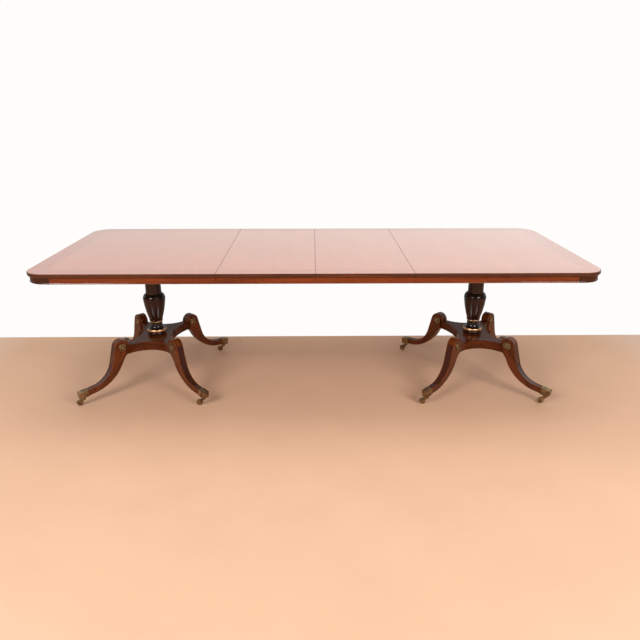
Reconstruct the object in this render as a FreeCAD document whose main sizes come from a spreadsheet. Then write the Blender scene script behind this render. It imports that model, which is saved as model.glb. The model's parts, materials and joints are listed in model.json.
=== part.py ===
import FreeCAD, Part
import math
import os
import re
import Sketcher

# Double pedestal dining table with two loose leaves, in millimetres.
# The origin is on the floor under the middle of the table, x runs along the table and z points up.

SIZES = {
    # boards
    "table_height": 749,
    "table_width": 1080,
    "half_span": 889,
    "leaf_span": 457,
    "seam_gap": 0.6,
    "slab_thick": 21,
    "corner_radius": 102,
    "edge_round": 4,
    "edge_under": 9,
    # apron and bead
    "rail_high": 21,
    "rail_thick": 20,
    "rail_setback": 10,
    "bead_high": 8,
    "bead_deep": 14,
    "bead_proud": 2,
    "bead_round": 3.9,
    # extension slides
    "slide_high": 42,
    "slide_thick": 30,
    "slide_inset": 154,
    "slide_clear": 0.5,
    "slide_back": 640,
    "slide_front": 330,
    "slide_middle": 1120,
    "tongue_high": 13,
    "tongue_deep": 8.5,
    # pedestal block and tie bolt
    "pedestal_inset": 433.5,
    "block_long": 300,
    "block_wide": 280,
    "block_high": 38,
    "block_chamfer": 14,
    "bolt_radius": 6,
    "bolt_bore": 6.5,
    "nut_radius": 11,
    "nut_high": 10,
    "nut_hole": 6.05,
    "washer_radius": 16,
    "washer_thick": 3,
    "nut_pocket": 18,
    "nut_sink": 20,
    "bolt_short": 5,
    # turned column, heights from the platform upwards
    "base_radius": 49,
    "base_high": 15,
    "base_curve": 13,
    "ring_radius": 50,
    "ring_high": 16,
    "ring_curve": 11,
    "flare_radius": 46,
    "flare_high": 25,
    "flare_curve": 34,
    "neck_radius": 33,
    "neck_high": 14,
    "thin_ring_radius": 35,
    "thin_ring_high": 6,
    "thin_ring_curve": 5,
    "bead_ring_radius": 36.5,
    "bead_ring_high": 10,
    "bead_ring_curve": 8,
    "urn_radius": 59.5,
    "urn_high": 112,
    "urn_curve": 600,
    "collar_high": 14,
    "collar_curve": 11,
    "collar_lip": 2,
    "shoulder_radius": 53,
    "shoulder_high": 21,
    "shoulder_curve": 26,
    "shaft_radius": 42.5,
    "shaft_top": 39.5,
    "capital_radius": 54,
    "capital_high": 16,
    "capital_curve": 18,
    "capital_lip": 3,
    # concave platform
    "platform_low": 217,
    "platform_high": 47,
    "platform_round": 3,
    "front_waist": 144.5,
    "front_curve": 137,
    "side_waist": 84,
    "side_curve": 315,
    "arm_half": 21,
    # sabre legs, measured outwards from the centre of the scroll
    "leg_angle": 45,
    "scroll_out": 146,
    "scroll_aside": 208,
    "scroll_radius": 40,
    "joint_back": 20,
    "leg_wide": 44,
    "leg_shoulder": 40,
    "sabre_out": 186,
    "sabre_up": 216,
    "sabre_radius": 127,
    "inner_out": 206,
    "inner_radius": 224,
    "inner_start": 190,
    "toe_slope": 7,
    "toe_reach": 255.5,
    "toe_deep": 33,
    "toe_wide": 30,
    "panel_deep": 1.4,
    "panel_border": 6,
    "tenon_long": 22,
    "tenon_wide": 16,
    "tenon_high": 28,
    "tenon_clear": 0.2,
    # rosettes
    "rosette_radius": 20,
    "rosette_rim": 3.2,
    "rosette_dish": 1.6,
    "rosette_dome": 8,
    "rosette_thick": 5,
    # toe caps
    "cap_long": 44,
    "cap_wall": 1.6,
    "cap_end": 2,
    "boss_radius": 10.5,
    "boss_low": 39.3,
    "boss_high": 14,
    # casters
    "stem_reach": 232,
    "stem_radius": 4,
    "stem_top": 58,
    "stem_clear": 0.05,
    "stem_room": 1,
    "crown_radius": 10,
    "crown_low": 35,
    "crown_high": 4,
    "caster_trail": 23,
    "wheel_radius": 16.5,
    "wheel_wide": 11,
    "wheel_chamfer": 2,
    "tread_wall": 4,
    "hub_radius": 6.5,
    "web_sink": 1.5,
    "axle_radius": 2.5,
    "axle_clear": 0.05,
    "axle_head": 4,
    "axle_rivet": 1.2,
    "cheek_gap": 0.5,
    "cheek_thick": 2.2,
    "cheek_eye": 5.5,
    "cheek_front": 5,
    "cheek_back": 9,
    "eye_start": 160,
    "eye_end": 316,
}

doc = FreeCAD.newDocument("double_pedestal_table")
sheet = doc.addObject("Spreadsheet::Sheet", "sizes")
for row, (alias, number) in enumerate(SIZES.items(), 1):
    sheet.set("A%d" % row, alias)
    sheet.set("B%d" % row, str(number))
    sheet.setAlias("B%d" % row, alias)
doc.recompute()

PARTS = []


def linked(formula):
    """Point every size name in a formula at its cell in the sheet."""
    def cell(word):
        name = word.group()
        return "sizes." + name if name in SIZES else name
    return re.sub(r"[a-z_]+", cell, formula)


def number_of(formula):
    """Value of a formula for the sizes in the sheet."""
    result = sheet.evalExpression(linked(formula))
    return float(getattr(result, "Value", result))


def bind(item, settings):
    """Tie properties of an object to formulas."""
    for name, formula in settings.items():
        item.setExpression(name, linked(formula))


def place(item, x="0", y="0", z="0", turn=0.0):
    """Put an object at a formula place, turned about the upright axis."""
    item.Placement = FreeCAD.Placement(FreeCAD.Vector(), FreeCAD.Rotation(FreeCAD.Vector(0, 0, 1), turn))
    bind(item, {"Placement.Base.x": x, "Placement.Base.y": y, "Placement.Base.z": z})
    return item


def keep(item, label):
    """Name a finished piece and list it for writing."""
    item.Label = label
    PARTS.append(item)
    return item


def block(name, corner, extent):
    """Box with a formula corner and formula extent."""
    item = doc.addObject("Part::Box", name)
    bind(item, dict(zip(("Length", "Width", "Height"), extent)))
    return place(item, *corner)


def rod(name, radius, height, x="0", y="0", z="0"):
    """Upright cylinder."""
    item = doc.addObject("Part::Cylinder", name)
    bind(item, {"Radius": radius, "Height": height})
    return place(item, x, y, z)


def cut(name, base, tool):
    """First shape less the second."""
    item = doc.addObject("Part::Cut", name)
    item.Base = base
    item.Tool = tool
    return item


def fuse(name, base, tool):
    """Two shapes joined."""
    item = doc.addObject("Part::Fuse", name)
    item.Base = base
    item.Tool = tool
    return item


def group(name, items):
    """Separate solids kept together as one piece."""
    item = doc.addObject("Part::Compound", name)
    item.Links = items
    return item


def new_body(name):
    return doc.addObject("PartDesign::Body", name)


def new_sketch(body, plane, lift="0"):
    """Sketch on an origin plane of its body, lifted along the plane's normal."""
    sketch = body.newObject("Sketcher::SketchObject", body.Name + "_sketch")
    role = [item for item in body.Origin.OriginFeatures if item.Role == plane]
    sketch.AttachmentSupport = [(role[0], "")]
    sketch.MapMode = "FlatFace"
    bind(sketch, {"AttachmentOffset.Base.z": lift})
    return sketch


def dimension(sketch, kind, items, formula):
    """Driving constraint tied to a formula."""
    index = sketch.addConstraint(Sketcher.Constraint(kind, *items, number_of(formula)))
    bind(sketch, {"Constraints[%d]" % index: formula})


def pin(sketch, item, end, x, y):
    """Fix a point of the sketch from its origin."""
    dimension(sketch, "DistanceX", (-1, 1, item, end), x)
    dimension(sketch, "DistanceY", (-1, 1, item, end), y)


def arc_between(first, last, centre, left):
    """Arc from one point to another round a centre; left is True for an anticlockwise turn."""
    start, stop = (first, last) if left else (last, first)
    angles = [math.atan2(p.y - centre.y, p.x - centre.x) for p in (start, stop)]
    circle = Part.Circle(centre, FreeCAD.Vector(0, 0, 1), (first - centre).Length)
    return Part.ArcOfCircle(circle, angles[0], angles[1])


def bulge_centre(first, last, radius, left):
    """Centre of the short arc of a given radius between two points."""
    middle = (first + last) * 0.5
    chord = last - first
    rise = math.sqrt(max(radius ** 2 - chord.Length ** 2 / 4, 0))
    across = FreeCAD.Vector(-chord.y, chord.x, 0) / chord.Length
    return middle + across * (rise if left else -rise)


def outline(sketch, corners):
    """Closed outline of (x, y) corners; a third and fourth entry make the way onwards an arc.

    The third entry is the radius formula and the fourth is True where the arc turns left.
    """
    points = [FreeCAD.Vector(number_of(c[0]), number_of(c[1]), 0) for c in corners]
    ends = []
    for corner, first, last in zip(corners, points, points[1:] + points[:1]):
        if len(corner) == 2:
            ends.append((sketch.addGeometry(Part.LineSegment(first, last)), 1, 2))
            continue
        centre = bulge_centre(first, last, number_of(corner[2]), corner[3])
        item = sketch.addGeometry(arc_between(first, last, centre, corner[3]))
        ends.append((item, 1, 2) if corner[3] else (item, 2, 1))
    for (item, _, end), (after, start, _) in zip(ends, ends[1:] + ends[:1]):
        sketch.addConstraint(Sketcher.Constraint("Coincident", item, end, after, start))
    for corner, (item, start, _) in zip(corners, ends):
        pin(sketch, item, start, corner[0], corner[1])
        if len(corner) > 2:
            dimension(sketch, "Radius", (item,), corner[2])


def circle(sketch, x, y, radius):
    """Circle with a formula centre and radius."""
    centre = FreeCAD.Vector(number_of(x), number_of(y), 0)
    item = sketch.addGeometry(Part.Circle(centre, FreeCAD.Vector(0, 0, 1), number_of(radius)))
    pin(sketch, item, 3, x, y)
    dimension(sketch, "Radius", (item,), radius)


def pad(body, sketch, length, both_ways=False):
    """Add the sketch's area along its normal."""
    feature = body.newObject("PartDesign::Pad", body.Name + "_pad")
    feature.Profile = sketch
    bind(feature, {"Length": length})
    feature.Midplane = both_ways
    return feature


def pocket(body, sketch, length=None, both_ways=False, backwards=False):
    """Remove the sketch's area, right through where no length is given."""
    feature = body.newObject("PartDesign::Pocket", body.Name + "_pocket")
    feature.Profile = sketch
    if length is None:
        feature.Type = "ThroughAll"
    else:
        bind(feature, {"Length": length})
    feature.Midplane = both_ways
    feature.Reversed = backwards
    return feature


def turned(body, sketch, axis):
    """Turn the sketch's area about one of its own axes."""
    feature = body.newObject("PartDesign::Revolution", body.Name + "_turned")
    feature.Profile = sketch
    feature.ReferenceAxis = (sketch, [axis])
    feature.Angle = 360
    return feature


def dress(body, kind, feature, size, test):
    """Fillet or chamfer the edges whose middle point passes a test."""
    doc.recompute()
    names = []
    for number, edge in enumerate(feature.Shape.Edges, 1):
        middle = edge.valueAt((edge.FirstParameter + edge.LastParameter) / 2)
        if test(edge, middle):
            names.append("Edge%d" % number)
    item = body.newObject("PartDesign::" + kind, body.Name + "_" + kind.lower())
    item.Base = (feature, names)
    bind(item, {"Radius" if kind == "Fillet" else "Size": size})
    return item


def near(first, second):
    return abs(first - second) < 0.01


# Formulas that several pieces share
UNDERSIDE = "table_height - slab_thick"
HALF_START = "leaf_span + seam_gap / 2"
HALF_LONG = "half_span - seam_gap / 2"
LEAF_LONG = "leaf_span - seam_gap"
RAIL_FACE = "table_width / 2 - rail_setback"
RAIL_LOW = "table_height - slab_thick - rail_high"
BEAD_LOW = "table_height - slab_thick - rail_high - bead_high"
PLATFORM_TOP = "platform_low + platform_high"
BLOCK_LOW = "table_height - slab_thick - block_high"
PEDESTAL = "leaf_span + pedestal_inset"
SIDES = {"left": (-1, 180), "right": (1, 0)}


# Boards
def end_board(side):
    """End board with two rounded corners and a moulded edge on its three free sides."""
    sign, turn = SIDES[side]
    body = new_body(side + "_top")
    sketch = new_sketch(body, "XY_Plane")
    near_x = HALF_LONG + " - corner_radius"
    outline(sketch, [
        ("0", "-table_width / 2"),
        (near_x, "-table_width / 2", "corner_radius", True),
        (HALF_LONG, "corner_radius - table_width / 2"),
        (HALF_LONG, "table_width / 2 - corner_radius", "corner_radius", True),
        (near_x, "table_width / 2"),
        ("0", "table_width / 2"),
    ])
    board = pad(body, sketch, "slab_thick")
    thick = number_of("slab_thick")
    board = dress(body, "Fillet", board, "edge_round", lambda e, p: near(p.z, thick) and p.x > 1)
    dress(body, "Fillet", board, "edge_under", lambda e, p: near(p.z, 0) and p.x > 1)
    place(body, "%d * (%s)" % (sign, HALF_START), "0", UNDERSIDE, turn)
    keep(body, side + "_top")


def leaf_board(side):
    """Loose leaf, moulded at its front and back edges."""
    sign, turn = SIDES[side]
    body = new_body(side + "_leaf_top")
    sketch = new_sketch(body, "XY_Plane")
    outline(sketch, [
        ("0", "-table_width / 2"),
        (LEAF_LONG, "-table_width / 2"),
        (LEAF_LONG, "table_width / 2"),
        ("0", "table_width / 2"),
    ])
    board = pad(body, sketch, "slab_thick")
    thick = number_of("slab_thick")
    edge = number_of("table_width / 2")
    board = dress(body, "Fillet", board, "edge_round", lambda e, p: near(p.z, thick) and near(abs(p.y), edge))
    dress(body, "Fillet", board, "edge_under", lambda e, p: near(p.z, 0) and near(abs(p.y), edge))
    place(body, "%d * seam_gap / 2" % sign, "0", UNDERSIDE, turn)
    keep(body, side + "_leaf_top")


# Apron
def rail(name, start, long, y_sign):
    """Straight rail along the front or back, from a start in x."""
    inner = RAIL_FACE + " - rail_thick"
    y = inner if y_sign > 0 else "-(" + RAIL_FACE + ")"
    return block(name, (start, y, RAIL_LOW), (long, "rail_thick", "rail_high"))


def apron(side):
    """Rails and corner blocks of one end board."""
    sign = SIDES[side][0]
    long = HALF_LONG + " - corner_radius"
    start = HALF_START if sign > 0 else "-(%s) - (%s)" % (HALF_START, long)
    for face, y_sign in (("front", -1), ("back", 1)):
        name = "%s_%s_rail" % (side, face)
        keep(rail(name, start, long, y_sign), name)
    end_inner = "leaf_span + half_span - rail_setback - rail_thick"
    end_start = end_inner if sign > 0 else "-(%s) - rail_thick" % end_inner
    straight = "table_width - 2 * corner_radius"
    name = side + "_end_rail"
    corner = (end_start, "corner_radius - table_width / 2", RAIL_LOW)
    keep(block(name, corner, ("rail_thick", straight, "rail_high")), name)

    corners = []
    for face, y_sign in (("front", -1), ("back", 1)):
        name = "%s_%s_corner" % (side, face)
        outer = rod(name + "_outer", "corner_radius - rail_setback", "rail_high")
        inner = rod(name + "_inner", "corner_radius - rail_setback - rail_thick", "rail_high")
        outer.Angle = 90
        curved = cut(name, outer, inner)
        quarter = math.degrees(math.atan2(y_sign, sign)) - 45
        place(curved, "%d * (leaf_span + half_span - corner_radius)" % sign,
              "%d * (table_width / 2 - corner_radius)" % y_sign, RAIL_LOW, quarter)
        corners.append(curved)
    keep(group(side + "_corner_blocks", corners), side + "_corner_blocks")


def end_bead(side):
    """Half-round bead under the apron of one end board, bent round both corners."""
    sign, turn = SIDES[side]
    body = new_body(side + "_bead")
    sketch = new_sketch(body, "XY_Plane")
    face = "table_width / 2 - rail_setback + bead_proud"
    back = face + " - bead_deep"
    end_face = HALF_LONG + " - rail_setback + bead_proud"
    end_back = end_face + " - bead_deep"
    bend = "corner_radius - rail_setback + bead_proud"
    inner = bend + " - bead_deep"
    bend_x = HALF_LONG + " - corner_radius"
    bend_y = "table_width / 2 - corner_radius"
    outline(sketch, [
        ("0", "-(%s)" % face),
        (bend_x, "-(%s)" % face, bend, True),
        (end_face, "-(%s)" % bend_y),
        (end_face, bend_y, bend, True),
        (bend_x, face),
        ("0", face),
        ("0", back),
        (bend_x, back, inner, False),
        (end_back, bend_y),
        (end_back, "-(%s)" % bend_y, inner, False),
        (bend_x, "-(%s)" % back),
        ("0", "-(%s)" % back),
    ])
    strip = pad(body, sketch, "bead_high")
    edge_y = number_of(face)
    edge_x = number_of(end_face)
    edge_r = number_of(bend)

    def outer(edge, middle):
        flat = near(edge.BoundBox.ZLength, 0)
        bent = hasattr(edge.Curve, "Radius") and near(edge.Curve.Radius, edge_r)
        return flat and (near(abs(middle.y), edge_y) or near(middle.x, edge_x) or bent)

    dress(body, "Fillet", strip, "bead_round", outer)
    place(body, "%d * (%s)" % (sign, HALF_START), "0", BEAD_LOW, turn)
    keep(body, side + "_bead")


def leaf_apron(side):
    """Rails and beads at the front and back of one leaf."""
    sign = SIDES[side][0]
    start = "seam_gap / 2" if sign > 0 else "-(seam_gap / 2) - (%s)" % LEAF_LONG
    rails = []
    beads = []
    edge_y = number_of("bead_deep")
    for face, y_sign in (("front", -1), ("back", 1)):
        name = "%s_leaf_%s" % (side, face)
        rails.append(rail(name + "_rail", start, LEAF_LONG, y_sign))
        body = new_body(name + "_bead")
        sketch = new_sketch(body, "XY_Plane")
        outline(sketch, [("0", "0"), (LEAF_LONG, "0"), (LEAF_LONG, "bead_deep"), ("0", "bead_deep")])
        strip = pad(body, sketch, "bead_high")
        dress(body, "Fillet", strip, "bead_round",
              lambda e, p: near(p.y, edge_y) and near(e.BoundBox.ZLength, 0))
        back = RAIL_FACE + " + bead_proud - bead_deep"
        x = start if y_sign > 0 else "(%s) + (%s)" % (start, LEAF_LONG)
        beads.append(place(body, x, "%d * (%s)" % (y_sign, back), BEAD_LOW, 0 if y_sign > 0 else 180))
    keep(group(side + "_leaf_rails", rails), side + "_leaf_rails")
    keep(group(side + "_leaf_beads", beads), side + "_leaf_beads")


# Extension slides
TONGUE_LOW = "table_height - slab_thick - slide_high / 2 - tongue_high / 2"


def slide_pair(face, y_sign):
    """Outer, centre and inner slide members on one side of the pedestals."""
    inner_y = "slide_inset"
    centre_y = "slide_inset + slide_thick + slide_clear"
    outer_y = "slide_inset + 2 * slide_thick + 2 * slide_clear"
    low = "table_height - slab_thick - slide_high"
    long = "slide_back + slide_front"
    groove_deep = "tongue_deep + slide_clear"
    groove_high = "tongue_high + 2 * slide_clear"

    def across(low_y, wide):
        return low_y if y_sign > 0 else "-(%s) - (%s)" % (low_y, wide)

    for side, low_y, groove_y in (
            ("left", outer_y, outer_y),
            ("right", inner_y, inner_y + " + slide_thick - (%s)" % groove_deep)):
        sign = SIDES[side][0]
        start = "leaf_span - slide_front" if sign > 0 else "-leaf_span - slide_back"
        name = "%s_%s_slide" % (side, face)
        bar = block(name + "_bar", (start, across(low_y, "slide_thick"), low),
                    (long, "slide_thick", "slide_high"))
        groove = block(name + "_groove",
                       (start, across(groove_y, groove_deep), TONGUE_LOW + " - slide_clear"),
                       (long, groove_deep, groove_high))
        keep(cut(name, bar, groove), name)

    name = "centre_%s_slide" % face
    start = "-slide_middle / 2"
    bar = block(name + "_bar", (start, across(centre_y, "slide_thick"), low),
                ("slide_middle", "slide_thick", "slide_high - slide_clear"))
    tongue_wide = "slide_thick + 2 * tongue_deep"
    tongue = block(name + "_tongue", (start, across(centre_y + " - tongue_deep", tongue_wide), TONGUE_LOW),
                   ("slide_middle", tongue_wide, "tongue_high"))
    keep(fuse(name, bar, tongue), name)


# Pedestals
def top_block(side):
    """Chamfered block under the end board, bored for the tie bolt and sunk for its nut."""
    sign, turn = SIDES[side]
    body = new_body(side + "_top_block")
    sketch = new_sketch(body, "XY_Plane")
    outline(sketch, [
        ("-block_long / 2", "-block_wide / 2"),
        ("block_long / 2", "-block_wide / 2"),
        ("block_long / 2", "block_wide / 2"),
        ("-block_long / 2", "block_wide / 2"),
    ])
    solid = pad(body, sketch, "block_high")
    dress(body, "Chamfer", solid, "block_chamfer", lambda e, p: near(p.z, 0))
    hole = new_sketch(body, "XY_Plane")
    circle(hole, "0", "0", "bolt_bore")
    pocket(body, hole, backwards=True)
    sink = new_sketch(body, "XY_Plane", "block_high")
    circle(sink, "0", "0", "nut_pocket")
    pocket(body, sink, "nut_sink")
    place(body, "%d * (%s)" % (sign, PEDESTAL), "0", BLOCK_LOW, turn)
    keep(body, side + "_top_block")


def column(side):
    """Turned column: base, gilt rings, flared neck, urn, collar and tapered shaft, bored for the bolt."""
    sign, turn = SIDES[side]
    body = new_body(side + "_column")
    sketch = new_sketch(body, "XZ_Plane")
    ring = "base_high"
    flare = ring + " + ring_high"
    neck = flare + " + flare_high"
    thin = neck + " + neck_high"
    bead = thin + " + thin_ring_high"
    urn = bead + " + bead_ring_high"
    collar = urn + " + urn_high"
    shoulder = collar + " + collar_high"
    shaft = shoulder + " + shoulder_high"
    top = "%s - (%s)" % (BLOCK_LOW, PLATFORM_TOP)
    capital = top + " - capital_high"
    outline(sketch, [
        ("bolt_bore", "0"),
        ("base_radius", "0", "base_curve", True),
        ("ring_radius", ring, "ring_curve", True),
        ("ring_radius", flare),
        ("flare_radius", flare, "flare_curve", False),
        ("neck_radius", neck),
        ("neck_radius", thin),
        ("thin_ring_radius", thin, "thin_ring_curve", True),
        ("thin_ring_radius", bead),
        ("bead_ring_radius", bead, "bead_ring_curve", True),
        ("bead_ring_radius", urn, "urn_curve", True),
        ("urn_radius", collar, "collar_curve", True),
        ("urn_radius - collar_lip", shoulder),
        ("shoulder_radius", shoulder, "shoulder_curve", False),
        ("shaft_radius", shaft),
        ("shaft_top", capital, "capital_curve", False),
        ("capital_radius", top + " - capital_lip"),
        ("capital_radius", top),
        ("bolt_bore", top),
    ])
    turned(body, sketch, "V_Axis")
    place(body, "%d * (%s)" % (sign, PEDESTAL), "0", PLATFORM_TOP, turn)
    keep(body, side + "_column")


def tie_bolt(side):
    """Headed bolt through platform, column and block, with two washers and a nut."""
    sign = SIDES[side][0]
    x = "%d * (%s)" % (sign, PEDESTAL)
    low = "platform_low - washer_thick - nut_high"
    sink_floor = "%s - nut_sink" % UNDERSIDE
    shank = rod(side + "_bolt_shank", "bolt_radius", "%s - bolt_short - (%s)" % (UNDERSIDE, low), x, "0", low)
    head = hexagon(side + "_bolt_head", x, low)
    pieces = [fuse(side + "_bolt", shank, head)]
    for name, z in (("lower", "platform_low - washer_thick"), ("upper", sink_floor)):
        disc = rod("%s_%s_disc" % (side, name), "washer_radius", "washer_thick", x, "0", z)
        hole = rod("%s_%s_disc_hole" % (side, name), "nut_hole", "washer_thick", x, "0", z)
        pieces.append(cut("%s_%s_washer" % (side, name), disc, hole))
    z = sink_floor + " + washer_thick"
    hole = rod(side + "_nut_hole", "nut_hole", "nut_high", x, "0", z)
    pieces.append(cut(side + "_nut", hexagon(side + "_nut_body", x, z), hole))
    keep(group(side + "_tie_bolt", pieces), side + "_tie_bolt")


def hexagon(name, x, z):
    """Six-sided nut body."""
    item = doc.addObject("Part::Prism", name)
    item.Polygon = 6
    bind(item, {"Circumradius": "nut_radius", "Height": "nut_high"})
    return place(item, x, "0", z)


LEGS = {"front_left": (-1, -1), "front_right": (1, -1), "back_left": (-1, 1), "back_right": (1, 1)}


def leg_turn(x_sign, y_sign):
    """Direction of a leg in plan, in degrees."""
    angle = number_of("leg_angle")
    return math.degrees(math.atan2(y_sign * math.sin(math.radians(angle)), x_sign * math.cos(math.radians(angle))))


def leg_place(item, sign, x_sign, y_sign):
    """Move a piece drawn in the leg's own frame to its leg."""
    x = "%d * (%s) + %d * scroll_out" % (sign, PEDESTAL, x_sign)
    return place(item, x, "%d * scroll_aside" % y_sign, "0", leg_turn(x_sign, y_sign))


def platform(side):
    """Four-armed platform with hollowed sides, mortised for the legs and bored for the bolt."""
    sign = SIDES[side][0]
    body = new_body(side + "_platform_blank")
    reach_x = "scroll_out - joint_back * cos(leg_angle) + arm_half * sin(leg_angle)"
    reach_y = "scroll_aside - joint_back * sin(leg_angle) + arm_half * cos(leg_angle)"
    clip_x = "2 * arm_half * sin(leg_angle)"
    clip_y = "2 * arm_half * cos(leg_angle)"
    sketch = new_sketch(body, "XY_Plane")
    outline(sketch, [
        ("-(%s) + %s" % (reach_x, clip_x), "-(%s)" % reach_y),
        ("%s - %s" % (reach_x, clip_x), "-(%s)" % reach_y),
        (reach_x, "-(%s) + %s" % (reach_y, clip_y)),
        (reach_x, "%s - %s" % (reach_y, clip_y)),
        ("%s - %s" % (reach_x, clip_x), reach_y),
        ("-(%s) + %s" % (reach_x, clip_x), reach_y),
        ("-(%s)" % reach_x, "%s - %s" % (reach_y, clip_y)),
        ("-(%s)" % reach_x, "-(%s) + %s" % (reach_y, clip_y)),
    ])
    pad(body, sketch, "platform_high")
    hollows = (
        ("0", "front_waist + front_curve", "front_curve"),
        ("0", "-front_waist - front_curve", "front_curve"),
        ("side_waist + side_curve", "0", "side_curve"),
        ("-side_waist - side_curve", "0", "side_curve"),
        ("0", "0", "bolt_bore"),
    )
    for x, y, radius in hollows:
        hollow = new_sketch(body, "XY_Plane")
        circle(hollow, x, y, radius)
        last = pocket(body, hollow, backwards=True)
    thick = number_of("platform_high")
    waist = number_of("side_waist") / 2
    dress(body, "Fillet", last, "platform_round",
          lambda e, p: near(p.z, thick) and hasattr(e.Curve, "Radius") and math.hypot(p.x, p.y) > waist)
    mortises = []
    for leg, (x_sign, y_sign) in LEGS.items():
        hole = block("%s_%s_mortise" % (side, leg), ("0", "0", "0"),
                     ("tenon_long + tenon_clear", "tenon_wide + 2 * tenon_clear", "tenon_high + 2 * tenon_clear"))
        turn = leg_turn(x_sign, y_sign)
        back = "(joint_back + tenon_long + tenon_clear)"
        half = "(tenon_wide / 2 + tenon_clear)"
        along_x = math.cos(math.radians(turn))
        along_y = math.sin(math.radians(turn))
        place(hole,
              "%d * scroll_out - %r * %s + %r * %s" % (x_sign, along_x, back, along_y, half),
              "%d * scroll_aside - %r * %s - %r * %s" % (y_sign, along_y, back, along_x, half),
              "platform_high / 2 - tenon_high / 2 - tenon_clear", turn)
        mortises.append(hole)
    item = cut(side + "_platform", body, group(side + "_mortises", mortises))
    place(item, "%d * (%s)" % (sign, PEDESTAL), "0", "platform_low")
    keep(item, side + "_platform")


# Sabre legs
TOE_TOP = ("sabre_up - sabre_radius * cos(toe_slope)"
           " - (toe_reach - sabre_out + sabre_radius * sin(toe_slope)) * tan(toe_slope)")


def leg_points():
    """Corner points of the leg's side view in its own frame, from the sizes."""
    value = number_of
    vector = FreeCAD.Vector
    slope = math.radians(value("toe_slope"))
    along = vector(math.cos(slope), -math.sin(slope), 0)
    down = vector(-math.sin(slope), -math.cos(slope), 0)
    scroll = vector(0, value(PLATFORM_TOP), 0)
    sabre = vector(value("sabre_out"), value("sabre_up"), 0)
    small = value("scroll_radius")
    large = value("sabre_radius")
    gap = sabre - scroll
    lean = math.atan2(gap.y, gap.x) - math.asin((small + large) / gap.Length)
    across = vector(-math.sin(lean), math.cos(lean), 0)
    toe_top = vector(value("toe_reach"), value(TOE_TOP), 0)
    toe_low = toe_top + down * value("toe_deep")
    inner_radius = value("inner_radius")
    drop = (value("inner_out") - inner_radius * math.sin(slope) - toe_low.x) / along.x
    inner_end = toe_low + along * drop
    inner = inner_end - down * inner_radius
    start_z = value("inner_start")
    start_x = inner.x - math.sqrt(inner_radius ** 2 - (start_z - inner.y) ** 2)
    back = -value("joint_back")
    return {
        "joint_low": vector(back, value("platform_low"), 0),
        "joint_top": vector(back, scroll.y, 0),
        "scroll": scroll,
        "scroll_start": scroll - vector(small, 0, 0),
        "scroll_end": scroll + across * small,
        "sabre": sabre,
        "sabre_start": sabre - across * large,
        "sabre_end": sabre + down * large,
        "toe_top": toe_top,
        "toe_low": toe_low,
        "inner": inner,
        "inner_end": inner_end,
        "inner_start": vector(start_x, start_z, 0),
    }


def leg_side(sketch):
    """Side view of the leg: scroll head, hollow sabre curves and straight toe."""
    p = leg_points()
    line = Part.LineSegment
    shapes = [
        line(p["joint_low"], p["joint_top"]),
        line(p["joint_top"], p["scroll_start"]),
        arc_between(p["scroll_start"], p["scroll_end"], p["scroll"], False),
        line(p["scroll_end"], p["sabre_start"]),
        arc_between(p["sabre_start"], p["sabre_end"], p["sabre"], True),
        line(p["sabre_end"], p["toe_top"]),
        line(p["toe_top"], p["toe_low"]),
        line(p["toe_low"], p["inner_end"]),
        arc_between(p["inner_end"], p["inner_start"], p["inner"], False),
        line(p["inner_start"], p["joint_low"]),
    ]
    joint, ledge, scroll, front, sabre, toe, end, sole, inner, back = [sketch.addGeometry(s) for s in shapes]
    rule = Sketcher.Constraint
    for items in ((joint, 2, ledge, 1), (ledge, 2, scroll, 2), (toe, 2, end, 1), (end, 2, sole, 1),
                  (inner, 1, back, 1), (back, 2, joint, 1)):
        sketch.addConstraint(rule("Coincident", *items))
    for items in ((scroll, 1, front, 1), (front, 2, sabre, 1), (sabre, 2, toe, 1), (sole, 2, inner, 2)):
        sketch.addConstraint(rule("Tangent", *items))
    sketch.addConstraint(rule("Horizontal", ledge))
    sketch.addConstraint(rule("Perpendicular", toe, end))
    sketch.addConstraint(rule("Parallel", toe, sole))
    pin(sketch, joint, 1, "-joint_back", "platform_low")
    pin(sketch, joint, 2, "-joint_back", PLATFORM_TOP)
    pin(sketch, scroll, 3, "0", PLATFORM_TOP)
    dimension(sketch, "Radius", (scroll,), "scroll_radius")
    pin(sketch, sabre, 3, "sabre_out", "sabre_up")
    dimension(sketch, "Radius", (sabre,), "sabre_radius")
    pin(sketch, toe, 2, "toe_reach", TOE_TOP)
    dimension(sketch, "Distance", (end,), "toe_deep")
    dimension(sketch, "DistanceX", (-1, 1, inner, 3), "inner_out")
    dimension(sketch, "Radius", (inner,), "inner_radius")
    dimension(sketch, "DistanceY", (-1, 1, inner, 1), "inner_start")


def taper_cheeks(body, border):
    """Narrow a blank from the leg's shoulder to its toe, a border inside the cheeks."""
    for cheek in (-1, 1):
        wide = "%d * (leg_wide / 2 - %s)" % (cheek, border)
        narrow = "%d * (toe_wide / 2 - %s)" % (cheek, border)
        outside = "%d * leg_wide" % cheek
        sketch = new_sketch(body, "XY_Plane")
        outline(sketch, [
            ("-2 * scroll_radius", wide),
            ("leg_shoulder", wide),
            ("toe_reach - cap_long", narrow),
            ("toe_reach + 2 * scroll_radius", narrow),
            ("toe_reach + 2 * scroll_radius", outside),
            ("-2 * scroll_radius", outside),
        ])
        pocket(body, sketch, backwards=True)


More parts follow.
